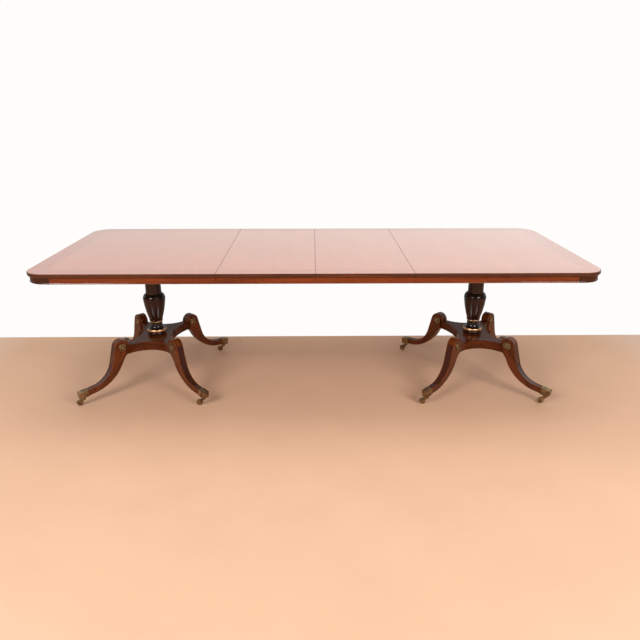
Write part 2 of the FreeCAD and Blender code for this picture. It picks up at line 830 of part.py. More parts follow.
def panel_tool(name):
    """Thin band along the upper face of a leg, which sinks a panel between two raised borders."""
    body = new_body(name)
    p = leg_points()
    across = (p["scroll_end"] - p["scroll"]).normalize()
    down = (p["sabre_end"] - p["sabre"]).normalize()
    along = FreeCAD.Vector(-down.y, down.x, 0)
    deep = number_of("panel_deep")
    stop = p["toe_top"] - along * number_of("cap_long + panel_border")
    start = p["scroll_end"]
    bend = p["sabre_start"]
    flat = p["sabre_end"]
    points = [start - across * deep, bend - across * deep, flat + down * deep, stop + down * deep,
              stop - down * deep, flat - down * deep, bend + across * deep, start + across * deep]
    corners = [("%r" % point.x, "%r" % point.y) for point in points]
    corners[1] += ("sabre_radius + panel_deep", True)
    corners[5] += ("sabre_radius - panel_deep", False)
    sketch = new_sketch(body, "XZ_Plane")
    outline(sketch, corners)
    pad(body, sketch, "leg_wide", both_ways=True)
    taper_cheeks(body, "panel_border")
    return body


def leg(side, name, x_sign, y_sign):
    """Sabre leg with a sunk panel on its upper face, a tenon and a hole for the caster stem."""
    sign = SIDES[side][0]
    label = "%s_%s_leg" % (side, name)
    body = new_body(label + "_blank")
    sketch = new_sketch(body, "XZ_Plane")
    leg_side(sketch)
    pad(body, sketch, "leg_wide", both_ways=True)
    taper_cheeks(body, "0")
    tenon = new_sketch(body, "YZ_Plane", "-joint_back - tenon_long")
    middle = "platform_low + platform_high / 2"
    outline(tenon, [
        ("-tenon_wide / 2", middle + " - tenon_high / 2"),
        ("tenon_wide / 2", middle + " - tenon_high / 2"),
        ("tenon_wide / 2", middle + " + tenon_high / 2"),
        ("-tenon_wide / 2", middle + " + tenon_high / 2"),
    ])
    pad(body, tenon, "tenon_long + joint_back / 2")
    stem = new_sketch(body, "XY_Plane")
    circle(stem, "stem_reach", "0", "stem_radius + stem_room")
    pocket(body, stem, "stem_top + 2 * stem_room", backwards=True)
    item = cut(label, body, panel_tool(label + "_panel"))
    leg_place(item, sign, x_sign, y_sign)
    keep(item, label)


def rosettes(side):
    """Turned rosettes on both cheeks of every scroll head."""
    sign = SIDES[side][0]
    rise = "(rosette_thick - rosette_dish)"
    pieces = []
    for leg_name, (x_sign, y_sign) in LEGS.items():
        for cheek in (-1, 1):
            body = new_body("%s_%s_rosette" % (side, leg_name))
            sketch = new_sketch(body, "XZ_Plane")
            outline(sketch, [
                ("0", "0"),
                ("rosette_radius", "0"),
                ("rosette_radius", "rosette_dish"),
                ("rosette_radius - rosette_rim", "rosette_dish + rosette_rim"),
                ("rosette_radius - 2 * rosette_rim", "rosette_dish"),
                ("rosette_dome", "rosette_dish", "(rosette_dome ^ 2 + %s ^ 2) / (2 * %s)" % (rise, rise), True),
                ("0", "rosette_thick"),
            ])
            turned(body, sketch, "V_Axis")
            turn = math.radians(leg_turn(x_sign, y_sign))
            face = FreeCAD.Vector(-math.sin(turn), math.cos(turn), 0) * cheek
            body.Placement.Rotation = FreeCAD.Rotation(FreeCAD.Vector(0, 0, 1), face)
            bind(body, {
                "Placement.Base.x": "%d * (%s) + %d * scroll_out + %r * leg_wide / 2"
                                    % (sign, PEDESTAL, x_sign, face.x),
                "Placement.Base.y": "%d * scroll_aside + %r * leg_wide / 2" % (y_sign, face.y),
                "Placement.Base.z": PLATFORM_TOP,
            })
            pieces.append(body)
    keep(group(side + "_rosettes", pieces), side + "_rosettes")


# Toe caps
def toe_box(name, start, long, wall):
    """Box lying along the sloping toe, a wall thickness larger than the toe all round."""
    item = block(name, ("0", "0", "0"), (long, "toe_wide + 2 * %s" % wall, "toe_deep + 2 * %s" % wall))
    item.Placement.Rotation = FreeCAD.Rotation(FreeCAD.Vector(0, 1, 0), number_of("toe_slope"))
    low = "(toe_deep + %s)" % wall
    bind(item, {
        "Placement.Base.x": "toe_reach - (%s) * cos(toe_slope) - %s * sin(toe_slope)" % (start, low),
        "Placement.Base.y": "-toe_wide / 2 - %s" % wall,
        "Placement.Base.z": "%s + (%s) * sin(toe_slope) - %s * cos(toe_slope)" % (TOE_TOP, start, low),
    })
    return item


def toe_caps(side):
    """Hollow square caps on the toes, each with a bored boss for the caster stem."""
    sign = SIDES[side][0]
    pieces = []
    for leg_name, (x_sign, y_sign) in LEGS.items():
        label = "%s_%s_cap" % (side, leg_name)
        shell = toe_box(label + "_shell", "cap_long", "cap_long + cap_end", "cap_wall")
        room = toe_box(label + "_room", "cap_long + cap_end", "cap_long + cap_end", "0")
        boss = rod(label + "_boss", "boss_radius", "boss_high", "stem_reach", "0", "boss_low")
        bore = rod(label + "_bore", "stem_radius + stem_clear", "2 * boss_high", "stem_reach", "0", "boss_low")
        item = cut(label, fuse(label + "_solid", shell, boss), fuse(label + "_hollow", room, bore))
        pieces.append(leg_place(item, sign, x_sign, y_sign))
    keep(group(side + "_toe_caps", pieces), side + "_toe_caps")


# Casters
CHEEK = "wheel_wide / 2 + cheek_gap"


def disc_pad(body, plane, lift, x, y, radius, length, both_ways=False):
    """Round pad from an origin plane of its body."""
    sketch = new_sketch(body, plane, lift)
    circle(sketch, x, y, radius)
    pad(body, sketch, length, both_ways)


def caster(side, leg_name, x_sign, y_sign):
    """Swivel fork with a riveted axle pin, and the wheel that turns on it."""
    sign = SIDES[side][0]
    label = "%s_%s" % (side, leg_name)
    x = "%d * (%s) + %d * (scroll_out + stem_reach * cos(leg_angle))" % (sign, PEDESTAL, x_sign)
    y = "%d * (scroll_aside + stem_reach * sin(leg_angle))" % y_sign
    crown_top = "crown_low + crown_high"

    horn = new_body(label + "_horn")
    disc_pad(horn, "XY_Plane", "crown_low", "0", "0", "crown_radius", "crown_high")
    disc_pad(horn, "XY_Plane", "crown_low", "0", "0", "stem_radius", "stem_top - crown_low")
    for lift in (CHEEK, "-(%s) - cheek_thick" % CHEEK):
        cheek = new_sketch(horn, "XZ_Plane", lift)
        outline(cheek, [
            ("cheek_front", "crown_low"),
            ("cheek_front", crown_top),
            ("-cheek_back", crown_top),
            ("cheek_eye * cos(eye_start) - caster_trail", "wheel_radius + cheek_eye * sin(eye_start)",
             "cheek_eye", True),
            ("cheek_eye * cos(eye_end) - caster_trail", "wheel_radius + cheek_eye * sin(eye_end)"),
        ])
        pad(horn, cheek, "cheek_thick")
    eye = new_sketch(horn, "XZ_Plane")
    circle(eye, "-caster_trail", "wheel_radius", "axle_radius + axle_clear / 2")
    pocket(horn, eye, both_ways=True)

    axle = new_body(label + "_axle")
    outside = CHEEK + " + cheek_thick"
    centre = ("-caster_trail", "wheel_radius")
    disc_pad(axle, "XZ_Plane", "0", *centre, "axle_radius", "2 * (%s)" % outside, both_ways=True)
    disc_pad(axle, "XZ_Plane", outside, *centre, "axle_head", "axle_rivet")
    disc_pad(axle, "XZ_Plane", "-(%s) - axle_rivet" % outside, *centre, "axle_head", "axle_rivet")
    place(horn, x, y)
    place(axle, x, y)
    keep(group(label + "_fork", [horn, axle]), label + "_fork")

    wheel = new_body(label + "_wheel")
    sketch = new_sketch(wheel, "XY_Plane")
    half = "wheel_wide / 2"
    inner = "wheel_radius - tread_wall"
    outline(sketch, [
        ("axle_radius + axle_clear", "-(%s)" % half),
        ("hub_radius", "-(%s)" % half),
        ("hub_radius", "web_sink - %s" % half),
        (inner, "web_sink - %s" % half),
        (inner, "-(%s)" % half),
        ("wheel_radius - wheel_chamfer", "-(%s)" % half),
        ("wheel_radius", "wheel_chamfer - %s" % half),
        ("wheel_radius", "%s - wheel_chamfer" % half),
        ("wheel_radius - wheel_chamfer", half),
        (inner, half),
        (inner, "%s - web_sink" % half),
        ("hub_radius", "%s - web_sink" % half),
        ("hub_radius", half),
        ("axle_radius + axle_clear", half),
    ])
    turned(wheel, sketch, "V_Axis")
    place(wheel, x + " - caster_trail", y, "wheel_radius")
    keep(wheel, label + "_wheel")


for side in SIDES:
    end_board(side)
    leaf_board(side)
    apron(side)
    end_bead(side)
    leaf_apron(side)
    top_block(side)
    column(side)
    tie_bolt(side)
    platform(side)
    for leg_name, (x_sign, y_sign) in LEGS.items():
        leg(side, leg_name, x_sign, y_sign)
        caster(side, leg_name, x_sign, y_sign)
    rosettes(side)
    toe_caps(side)
for face, y_sign in (("front", -1), ("back", 1)):
    slide_pair(face, y_sign)

# Check every object, then write one file per piece
doc.recompute()
for item in doc.Objects:
    if "Invalid" in item.State or "Error" in item.State:
        raise RuntimeError("%s did not build" % item.Label)
os.makedirs("parts", exist_ok=True)
for item in PARTS:
    if item.Shape.isNull() or not item.Shape.isValid():
        raise RuntimeError("%s has no valid shape" % item.Label)
    item.Shape.exportStep("parts/%s.step" % item.Label)
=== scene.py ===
import json
import math

import bmesh
import bpy
from bpy.props import FloatProperty, FloatVectorProperty, IntProperty, PointerProperty
from mathutils import Matrix, Vector

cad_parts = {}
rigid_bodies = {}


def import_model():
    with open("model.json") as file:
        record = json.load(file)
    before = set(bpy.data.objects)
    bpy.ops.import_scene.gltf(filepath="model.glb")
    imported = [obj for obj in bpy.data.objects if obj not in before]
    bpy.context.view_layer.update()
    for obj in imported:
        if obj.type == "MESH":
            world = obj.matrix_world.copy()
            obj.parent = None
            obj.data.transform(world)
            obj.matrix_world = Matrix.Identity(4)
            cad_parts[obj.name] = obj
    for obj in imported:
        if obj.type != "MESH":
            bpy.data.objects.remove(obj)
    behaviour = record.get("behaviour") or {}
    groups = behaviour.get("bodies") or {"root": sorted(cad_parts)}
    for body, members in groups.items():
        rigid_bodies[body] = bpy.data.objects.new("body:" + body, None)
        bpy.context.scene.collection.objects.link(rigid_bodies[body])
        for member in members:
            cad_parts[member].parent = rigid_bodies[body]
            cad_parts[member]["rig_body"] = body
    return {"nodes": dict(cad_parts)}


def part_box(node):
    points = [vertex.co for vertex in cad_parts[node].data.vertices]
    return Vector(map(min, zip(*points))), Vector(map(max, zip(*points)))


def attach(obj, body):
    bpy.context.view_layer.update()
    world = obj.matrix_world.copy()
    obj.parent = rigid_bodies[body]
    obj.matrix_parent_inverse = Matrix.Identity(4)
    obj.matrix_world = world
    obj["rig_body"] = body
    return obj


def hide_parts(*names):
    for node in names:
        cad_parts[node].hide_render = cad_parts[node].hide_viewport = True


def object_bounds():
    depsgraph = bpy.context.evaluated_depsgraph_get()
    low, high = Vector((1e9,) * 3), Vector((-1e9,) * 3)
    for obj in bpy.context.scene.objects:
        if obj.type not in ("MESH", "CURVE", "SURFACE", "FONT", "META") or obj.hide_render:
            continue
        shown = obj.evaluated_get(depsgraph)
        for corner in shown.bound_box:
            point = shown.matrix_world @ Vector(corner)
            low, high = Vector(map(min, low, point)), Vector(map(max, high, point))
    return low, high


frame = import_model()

bl_info = {
    "name": "Double pedestal table",
    "version": (1, 0, 0),
    "blender": (4, 5, 0),
    "location": "View3D > Sidebar > Table",
    "description": "Finishes a mahogany dining table with two pedestals and two loose leaves",
    "category": "Object",
}

bpy.context.view_layer.update()
CAD_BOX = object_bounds()
NODES = frame["nodes"]
SIDES = {"left": -1, "right": 1}
LEGS = {"front_left": (-1, -1), "front_right": (1, -1), "back_left": (-1, 1), "back_right": (1, 1)}
BOARDS = ("left_top", "left_leaf_top", "right_leaf_top", "right_top")
SEAMS = [(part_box(left)[1].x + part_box(right)[0].x) / 2 for left, right in zip(BOARDS, BOARDS[1:])]

# Turns that lay the grain along x, along y or upright
QUARTER = math.radians(90)
ALONG, ACROSS, UPRIGHT = (0, 0, 0), (0, 0, QUARTER), (0, QUARTER, 0)

# Waves per metre of the figure in mahogany, along and across the grain
RIBBON = (1.5, 16.0)
LINES = (5.0, 170.0)
PORES = (55.0, 1500.0)

# Distances in metres
SAME_POINT = 1e-6
SEAM_GAP = 0.0005
SEAM_ZONE = 0.0025
LEVEL = 1e-5
BAND_BLUR = 0.0002

# Share of the gap between two boards that stays open
SEAM_OPEN = 0.2


# Sizes and colours that a user may change
def length(name, text, value):
    return FloatProperty(name=name, description=text, default=value, min=0.0, unit="LENGTH",
                         precision=4)


def number(name, text, value, least, most):
    return IntProperty(name=name, description=text, default=value, min=least, max=most)


def colour(name, text, value):
    return FloatVectorProperty(name=name, description=text, default=value, subtype="COLOR",
                               min=0.0, max=1.0)


class TableColumnSizes(bpy.types.PropertyGroup):
    """Radii and heights of the turned column, from the platform upwards"""
    base_radius: length("Base radius", "Cushion that stands on the platform", 0.049)
    base_high: length("Base height", "Height of the cushion", 0.015)
    ring_radius: length("Large ring radius", "Gilt ring on the cushion", 0.050)
    ring_high: length("Large ring height", "Height of the gilt ring", 0.016)
    flare_radius: length("Flare radius", "Foot of the black flare", 0.046)
    flare_high: length("Flare height", "Height of the black flare", 0.025)
    neck_radius: length("Neck radius", "Black neck above the flare", 0.033)
    neck_high: length("Neck height", "Height of the black neck", 0.014)
    thin_ring: length("Small ring radius", "Gilt ring above the neck", 0.035)
    thin_high: length("Small ring height", "Height of the small gilt ring", 0.006)
    bead_radius: length("Bead radius", "Bead under the urn", 0.0365)
    bead_high: length("Bead height", "Height of the bead", 0.010)
    urn_radius: length("Urn radius", "Urn where it meets the collar", 0.0595)
    urn_high: length("Urn height", "Height of the urn", 0.112)
    collar_high: length("Collar height", "Collar of the urn", 0.021)
    shoulder_radius: length("Shoulder radius", "Foot of the black shoulder on the collar", 0.053)
    shoulder_high: length("Shoulder height", "Height of the shoulder", 0.014)
    shaft_radius: length("Shaft radius", "Shaft above the shoulder", 0.0425)
    shaft_top: length("Shaft top radius", "Shaft under the capital", 0.0395)
    capital_radius: length("Capital radius", "Flared top of the shaft", 0.054)
    capital_high: length("Capital height", "Height of the flared top", 0.016)
    capital_lip: length("Capital lip", "Upright edge of the flared top", 0.003)
    quirk: length("Quirk", "Small step between two turned forms", 0.0012)
    steps: number("Steps", "Facets round the column", 96, 24, 256)


class TableLegSizes(bpy.types.PropertyGroup):
    """Side view of the sabre leg, measured outwards from the centre of its scroll"""
    scroll_out: length("Scroll out", "Scroll centre from the column, along the table", 0.146)
    scroll_aside: length("Scroll aside", "Scroll centre from the column, across the table", 0.208)
    scroll_radius: length("Scroll radius", "Rounded head of the leg", 0.040)
    joint_back: length("Joint", "Face that meets the platform, behind the scroll centre", 0.020)
    wide: length("Width", "Leg at its head", 0.044)
    shoulder: length("Shoulder", "Where the cheeks start to taper", 0.040)
    sabre_out: length("Sabre out", "Centre of the upper curve, outwards", 0.186)
    sabre_up: length("Sabre up", "Centre of the upper curve, above the floor", 0.216)
    sabre_radius: length("Sabre radius", "Radius of the upper curve", 0.127)
    inner_out: length("Inner out", "Centre of the lower curve, outwards", 0.206)
    inner_radius: length("Inner radius", "Radius of the lower curve", 0.224)
    inner_start: length("Inner start", "Top of the lower curve, above the floor", 0.190)
    toe_slope: FloatProperty(name="Toe slope", description="Fall of the toe",
                             default=math.radians(7), subtype="ANGLE")
    toe_reach: length("Toe reach", "End of the toe", 0.2555)
    toe_deep: length("Toe depth", "Toe from top to sole", 0.033)
    toe_wide: length("Toe width", "Leg at its toe", 0.030)
    cap_long: length("Cap length", "Part of the toe inside the brass cap", 0.044)
    border: length("Panel border", "Raised border beside the sunk panel", 0.0055)
    sunk: length("Panel depth", "Depth of the sunk panel", 0.0016)
    panel_wall: length("Panel wall", "Slope between the border and the sunk panel", 0.0008)
    panel_end: length("Panel end", "Slope at both ends of the sunk panel", 0.0015)
    arris: length("Arris", "Rounding of the long edges", 0.0022)
    steps: number("Steps", "Facets along each curve", 26, 8, 96)


class TableTrimSizes(bpy.types.PropertyGroup):
    """Rosettes, screws, banding and softened edges"""
    rosette_radius: length("Rosette radius", "Outside of the rosette", 0.022)
    rosette_high: length("Rosette height", "Button in the middle of the rosette", 0.005)
    petals: number("Petals", "Petals round each rosette", 6, 4, 16)
    screw_radius: length("Screw radius", "Slotted screw head", 0.0048)
    screw_high: length("Screw height", "Part of the screw head that stands proud", 0.0009)
    screw_slot: length("Screw slot", "Width of the slot", 0.0014)
    corner: length("Board corner", "Rounding of the end boards in plan", 0.102)
    # The lap's darkness is partly end grain and partly painted shade on corners that turn away from
    # the front lamps.
    corner_lap: length("Corner lap", "Dark corner veneer that runs on to the long rails", 0.029)
    band: length("Crossband", "Width of the crossbanded border of the top", 0.080)
    line: length("String line", "Thin inlaid line beside the crossband", 0.0022)
    seam: length("Seam arris", "Rounding of the boards where they meet", 0.0008)
    rail_arris: length("Rail arris", "Rounding of the edges of rails and corner blocks", 0.0008)
    platform_arris: length("Platform arris", "Rounding of the rims of the platforms", 0.0016)
    brass_arris: length("Brass arris", "Rounding of the edges of caps and casters", 0.0007)
    wood_arris: length("Wood arris", "Rounding of the edges of slides and blocks", 0.0010)


class TableColours(bpy.types.PropertyGroup):
    """Colours of the woods and metals"""
    top_light: colour("Top light", "Light figure of the top", (0.625, 0.182, 0.062))
    top_dark: colour("Top dark", "Dark figure of the top", (0.525, 0.145, 0.046))
    inlay: colour("Inlay", "String line of the top", (0.020, 0.008, 0.006))
    apron_light: colour("Apron light", "Light grain of the rails", (0.225, 0.044, 0.010))
    apron_dark: colour("Apron dark", "Dark grain of the rails", (0.115, 0.020, 0.005))
    corner_light: colour("Corner light", "Light grain of the corner blocks", (0.120, 0.032, 0.012))
    corner_dark: colour("Corner dark", "Dark grain of the corner blocks", (0.045, 0.014, 0.007))
    leg_light: colour("Leg light", "Light grain of legs and platforms", (0.160, 0.034, 0.007))
    leg_dark: colour("Leg dark", "Dark grain of legs and platforms", (0.052, 0.012, 0.003))
    panel_light: colour("Panel light", "Light grain of the sunk panels", (0.070, 0.020, 0.012))
    panel_dark: colour("Panel dark", "Dark grain of the sunk panels", (0.028, 0.009, 0.006))
    urn_light: colour("Column light", "Light grain of the columns", (0.042, 0.011, 0.005))
    urn_dark: colour("Column dark", "Dark grain of the columns", (0.013, 0.004, 0.003))
    ebony: colour("Ebony", "Black bands of the columns", (0.008, 0.007, 0.007))
    gilt: colour("Gilt", "Gilt rings of the columns", (0.740, 0.440, 0.230))
    brass: colour("Brass", "Rubbed brass", (0.440, 0.310, 0.160))
    patina: colour("Patina", "Brown film in the hollows of the brass", (0.050, 0.032, 0.018))
    steel: colour("Steel", "Bolts and screws", (0.420, 0.420, 0.430))
    slide_light: colour("Slide light", "Light grain of slides and blocks", (0.420, 0.230, 0.100))
    slide_dark: colour("Slide dark", "Dark grain of slides and blocks", (0.260, 0.125, 0.050))
    floor: colour("Floor", "Plain pale floor", (0.775, 0.485, 0.320))


def toned(rgb, share):
    """Lighter or darker shade of a colour."""
    return tuple(min(1.0, share * part) for part in rgb)


# Node building
class NodeWork:
    """Nodes and links of one tree."""

    # Numbers of the two inputs and the output that a mix node uses for each kind of data
    MIX_SOCKETS = {"FLOAT": (2, 3, 0), "VECTOR": (4, 5, 1), "RGBA": (6, 7, 2)}

    def __init__(self, tree):
        self.tree = tree
        self.nodes = tree.nodes
        self.links = tree.links

    def add(self, kind, inputs=(), **settings):
        """New node with its settings, and its inputs by name or number."""
        node = self.nodes.new(kind)
        for key, value in settings.items():
            setattr(node, key, value)
        for key, value in dict(inputs).items():
            self.feed(node.inputs[key], value)
        return node

    def feed(self, socket, value):
        """Link a socket, or set its own value; a colour is opaque."""
        if isinstance(value, bpy.types.NodeSocket):
            self.links.new(value, socket)
        elif socket.type == "RGBA":
            socket.default_value = (*value, 1.0)
        else:
            socket.default_value = value

    def math(self, operation, first, second=0.0):
        return self.add("ShaderNodeMath", {0: first, 1: second}, operation=operation).outputs[0]

    def plus(self, first, second):
        return self.math("ADD", first, second)

    def minus(self, first, second):
        return self.math("SUBTRACT", first, second)

    def times(self, first, second):
        return self.math("MULTIPLY", first, second)

    def larger(self, first, second):
        return self.math("MAXIMUM", first, second)

    def size(self, value):
        return self.math("ABSOLUTE", value)

    def far(self, x, y):
        """Length of a step in x and y."""
        return self.math("SQRT", self.plus(self.math("POWER", x, 2.0), self.math("POWER", y, 2.0)))

    def span(self, value, low, high, to_low=0.0, to_high=1.0):
        """Clamped change of range."""
        inputs = {"Value": value, "From Min": low, "From Max": high,
                  "To Min": to_low, "To Max": to_high}
        return self.add("ShaderNodeMapRange", inputs).outputs[0]

    def vector(self, x, y, z):
        return self.add("ShaderNodeCombineXYZ", {0: x, 1: y, 2: z}).outputs[0]

    def parts(self, vector):
        """The x, y and z of a vector."""
        return self.add("ShaderNodeSeparateXYZ", {0: vector}).outputs

    def unit(self, vector):
        node = self.add("ShaderNodeVectorMath", {0: vector}, operation="NORMALIZE")
        return node.outputs["Vector"]

    def dot(self, first, second):
        node = self.add("ShaderNodeVectorMath", {0: first, 1: second}, operation="DOT_PRODUCT")
        return node.outputs["Value"]

    def mix(self, data, factor, first, second, **settings):
        """Blend of two numbers, vectors or colours."""
        node = self.add("ShaderNodeMix", data_type=data, **settings)
        low, high, result = self.MIX_SOCKETS[data]
        for socket, value in ((0, factor), (low, first), (high, second)):
            self.feed(node.inputs[socket], value)
        return node.outputs[result]

    def rays(self):
        return self.add("ShaderNodeLightPath").outputs


class Finish(NodeWork):
    """One procedural material and the nodes that make it."""

    def __init__(self, name):
        self.material = bpy.data.materials.new(name)
        self.material.use_nodes = True
        super().__init__(self.material.node_tree)
        self.shader = self.nodes["Principled BSDF"]

    def surface(self, **values):
        """Set or link inputs of the shader; underscores stand for spaces."""
        for key, value in values.items():
            self.feed(self.shader.inputs[key.replace("_", " ")], value)

    def place(self):
        return self.add("ShaderNodeTexCoord").outputs["Object"]

    def attribute(self, name, output):
        return self.add("ShaderNodeAttribute", attribute_name=name).outputs[output]

    def mapped(self, vector, turn=(0, 0, 0), scale=(1, 1, 1)):
        inputs = {"Vector": vector, "Rotation": turn, "Scale": scale}
        return self.add("ShaderNodeMapping", inputs).outputs[0]

    def noise(self, vector, scale, detail, distortion=0.0):
        """Cloudy pattern with so many waves per metre along x, y and z."""
        inputs = {"Vector": self.mapped(vector, scale=scale), "Scale": 1.0, "Detail": detail,
                  "Distortion": distortion, "Roughness": 0.55}
        return self.add("ShaderNodeTexNoise", inputs).outputs["Fac"]

    def blend(self, factor, first, second, kind="MIX"):
        return self.mix("RGBA", factor, first, second, blend_type=kind)

    def ramp(self, factor, stops):
        node = self.add("ShaderNodeValToRGB", {"Fac": factor})
        bar = node.color_ramp.elements
        while len(bar) < len(stops):
            bar.new(0.5)
        for element, (position, rgb) in zip(bar, stops):
            element.position = position
            element.color = (*rgb, 1.0)
        return node.outputs["Color"]

    def bump(self, height, strength, distance):
        inputs = {"Height": height, "Strength": strength, "Distance": distance}
        return self.add("ShaderNodeBump", inputs).outputs["Normal"]

    def sunk(self, pores, strength, distance):
        return self.bump(self.times(pores, -1.0), strength, distance)

    def incoming(self):
        """The x, y and z of the way back along a ray."""
        return self.parts(self.add("ShaderNodeNewGeometry").outputs["Incoming"])

    def glow(self, rgb, strength):
        return self.add("ShaderNodeEmission", {"Color": rgb, "Strength": strength}).outputs[0]

    def clear(self):
        return self.add("ShaderNodeBsdfTransparent").outputs[0]

    def either(self, factor, first, second):
        """Mix of two shaders."""
        return self.add("ShaderNodeMixShader", {0: factor, 1: first, 2: second}).outputs[0]


class NodeTree(NodeWork):
    """Geometry node tree with named inputs, which takes points and gives a plain mesh."""

    def __init__(self, name, **inputs):
        super().__init__(bpy.data.node_groups.new(name, "GeometryNodeTree"))
        self.tree.is_modifier = True
        self.socket("Geometry", "Geometry", "INPUT")
        self.sockets = {label: self.socket(label, kind, "INPUT") for label, kind in inputs.items()}
        self.socket("Geometry", "Geometry", "OUTPUT")
        self.source = self.nodes.new("NodeGroupInput")
        self.result = self.nodes.new("NodeGroupOutput")

    def socket(self, label, kind, way):
        made = self.tree.interface.new_socket(name=label, in_out=way,
                                              socket_type="NodeSocket" + kind)
        return made.identifier

    def given(self, name):
        return self.source.outputs[name]

    def upright(self, z):
        return self.vector(0.0, 0.0, z)

    def ring(self, points, radius):
        inputs = {"Resolution": points, "Radius": radius}
        return self.add("GeometryNodeCurvePrimitiveCircle", inputs).outputs[0]

    def disc(self, facets, radius, high):
        inputs = {"Vertices": facets, "Radius": radius, "Depth": high}
        return self.add("GeometryNodeMeshCylinder", inputs).outputs["Mesh"]

    def ball(self, segments, rings, scale, shift=(0, 0, 0)):
        inputs = {"Segments": segments, "Rings": rings, "Radius": 1.0}
        ball = self.add("GeometryNodeMeshUVSphere", inputs).outputs[0]
        return self.moved(ball, shift, scale=scale)

    def moved(self, geometry, shift=(0, 0, 0), turn=(0, 0, 0), scale=(1, 1, 1)):
        inputs = {"Geometry": geometry, "Translation": shift, "Rotation": turn, "Scale": scale}
        return self.add("GeometryNodeTransform", inputs).outputs[0]

    def joined(self, *shapes):
        node = self.nodes.new("GeometryNodeJoinGeometry")
        for shape in reversed(shapes):
            self.links.new(shape, node.inputs[0])
        return node.outputs[0]

    def real(self, geometry):
        return self.add("GeometryNodeRealizeInstances", {"Geometry": geometry}).outputs[0]

    def rubbed(self, geometry, amount):
        """Mark every face as worn bright, or as dark where the amount is below zero."""
        inputs = {"Geometry": self.real(geometry), "Name": "wear", "Value": amount}
        return self.add("GeometryNodeStoreNamedAttribute", inputs,
                        data_type="FLOAT", domain="FACE").outputs[0]

    def aligned(self, axis, vector):
        node = self.add("FunctionNodeAlignRotationToVector", {"Vector": vector}, axis=axis)
        return node.outputs[0]

    def facing(self):
        named = self.add("GeometryNodeInputNamedAttribute", {"Name": "facing"},
                         data_type="FLOAT_VECTOR")
        return self.aligned("Z", named.outputs[0])

    def scatter(self, points, instance, rotation):
        inputs = {"Points": points, "Instance": instance, "Rotation": rotation}
        return self.add("GeometryNodeInstanceOnPoints", inputs).outputs[0]

    def done(self, geometry, material):
        """Close the tree with real geometry in its material."""
        inputs = {"Geometry": self.real(geometry), "Material": material}
        named = self.add("GeometryNodeSetMaterial", inputs).outputs[0]
        self.links.new(named, self.result.inputs[0])
        return self


def scattered(tree, name, spots, facings, values):
    """Plain mesh of what a tree sets on points, each turned to its facing."""
    points = bpy.data.meshes.new(name + "_points")
    points.from_pydata([tuple(spot) for spot in spots], [], [])
    facing = points.attributes.new("facing", "FLOAT_VECTOR", "POINT")
    facing.data.foreach_set("vector", [part for direction in facings for part in direction])
    carrier = shown(name + "_carrier", points)
    modifier = carrier.modifiers.new("tree", "NODES")
    modifier.node_group = tree.tree
    for label, value in values.items():
        modifier[tree.sockets[label]] = value
    evaluated = carrier.evaluated_get(bpy.context.evaluated_depsgraph_get())
    mesh = bpy.data.meshes.new_from_object(evaluated)
    mesh.name = name
    mesh.materials.clear()
    bpy.data.objects.remove(carrier)
    bpy.data.meshes.remove(points)
    if not mesh.polygons:
        raise RuntimeError(name + " came out empty")
    return mesh


# Finishes
def made_once(name, maker):
    """Material of that name, built the first time it is asked for."""
    return bpy.data.materials.get(name) or maker()


def wood_grain(finish, vector, light, dark, figure=1.0):
    """Colour and pores of figured mahogany whose grain runs along the vector's x axis."""
    def layer(waves, detail, distortion=0.0, finer=1.0):
        along, across = waves
        return finish.noise(vector, (along, finer * across, finer * across), detail, distortion)

    ribbon = layer(RIBBON, 3.0, 1.1, figure)
    lines = layer(LINES, 5.0, 0.3)
    pores = finish.span(layer(PORES, 2.0), 0.56, 0.68)
    tone = finish.plus(finish.times(ribbon, 0.60), finish.times(lines, 0.40))
    middle = tuple((a + b) / 2 for a, b in zip(light, dark))
    base = finish.ramp(tone, ((0.34, dark), (0.50, middle), (0.66, light)))
    return finish.blend(finish.times(pores, 0.55), base, toned(dark, 0.45)), pores


def mahogany(name, light, dark, turn=None, gloss=0.24, shine=0.2, coat=0.0):
    """Polished mahogany; without a turn, the grain follows the piece's own grain attribute."""
    finish = Finish(name)
    if turn is None:
        vector = finish.attribute("grain", "Vector")
    else:
        vector = finish.mapped(finish.place(), turn)
    base, pores = wood_grain(finish, vector, light, dark)
    patch = finish.span(finish.noise(vector, (60, 60, 60), 2.0), 0.40, 0.62)
    worn = finish.times(finish.attribute("wear", "Fac"), patch)
    base = finish.blend(finish.times(worn, 0.55), base, toned(light, 1.5))
    film = finish.noise(vector, (7, 30, 30), 3.0)
    finish.surface(Base_Color=base,
                   Roughness=finish.span(film, 0.3, 0.7, gloss - 0.05, gloss + 0.08),
                   Normal=finish.sunk(pores, 0.10, 0.0003),
                   Specular_IOR_Level=shine, Coat_Weight=coat, Coat_Roughness=0.06)
    return finish.material


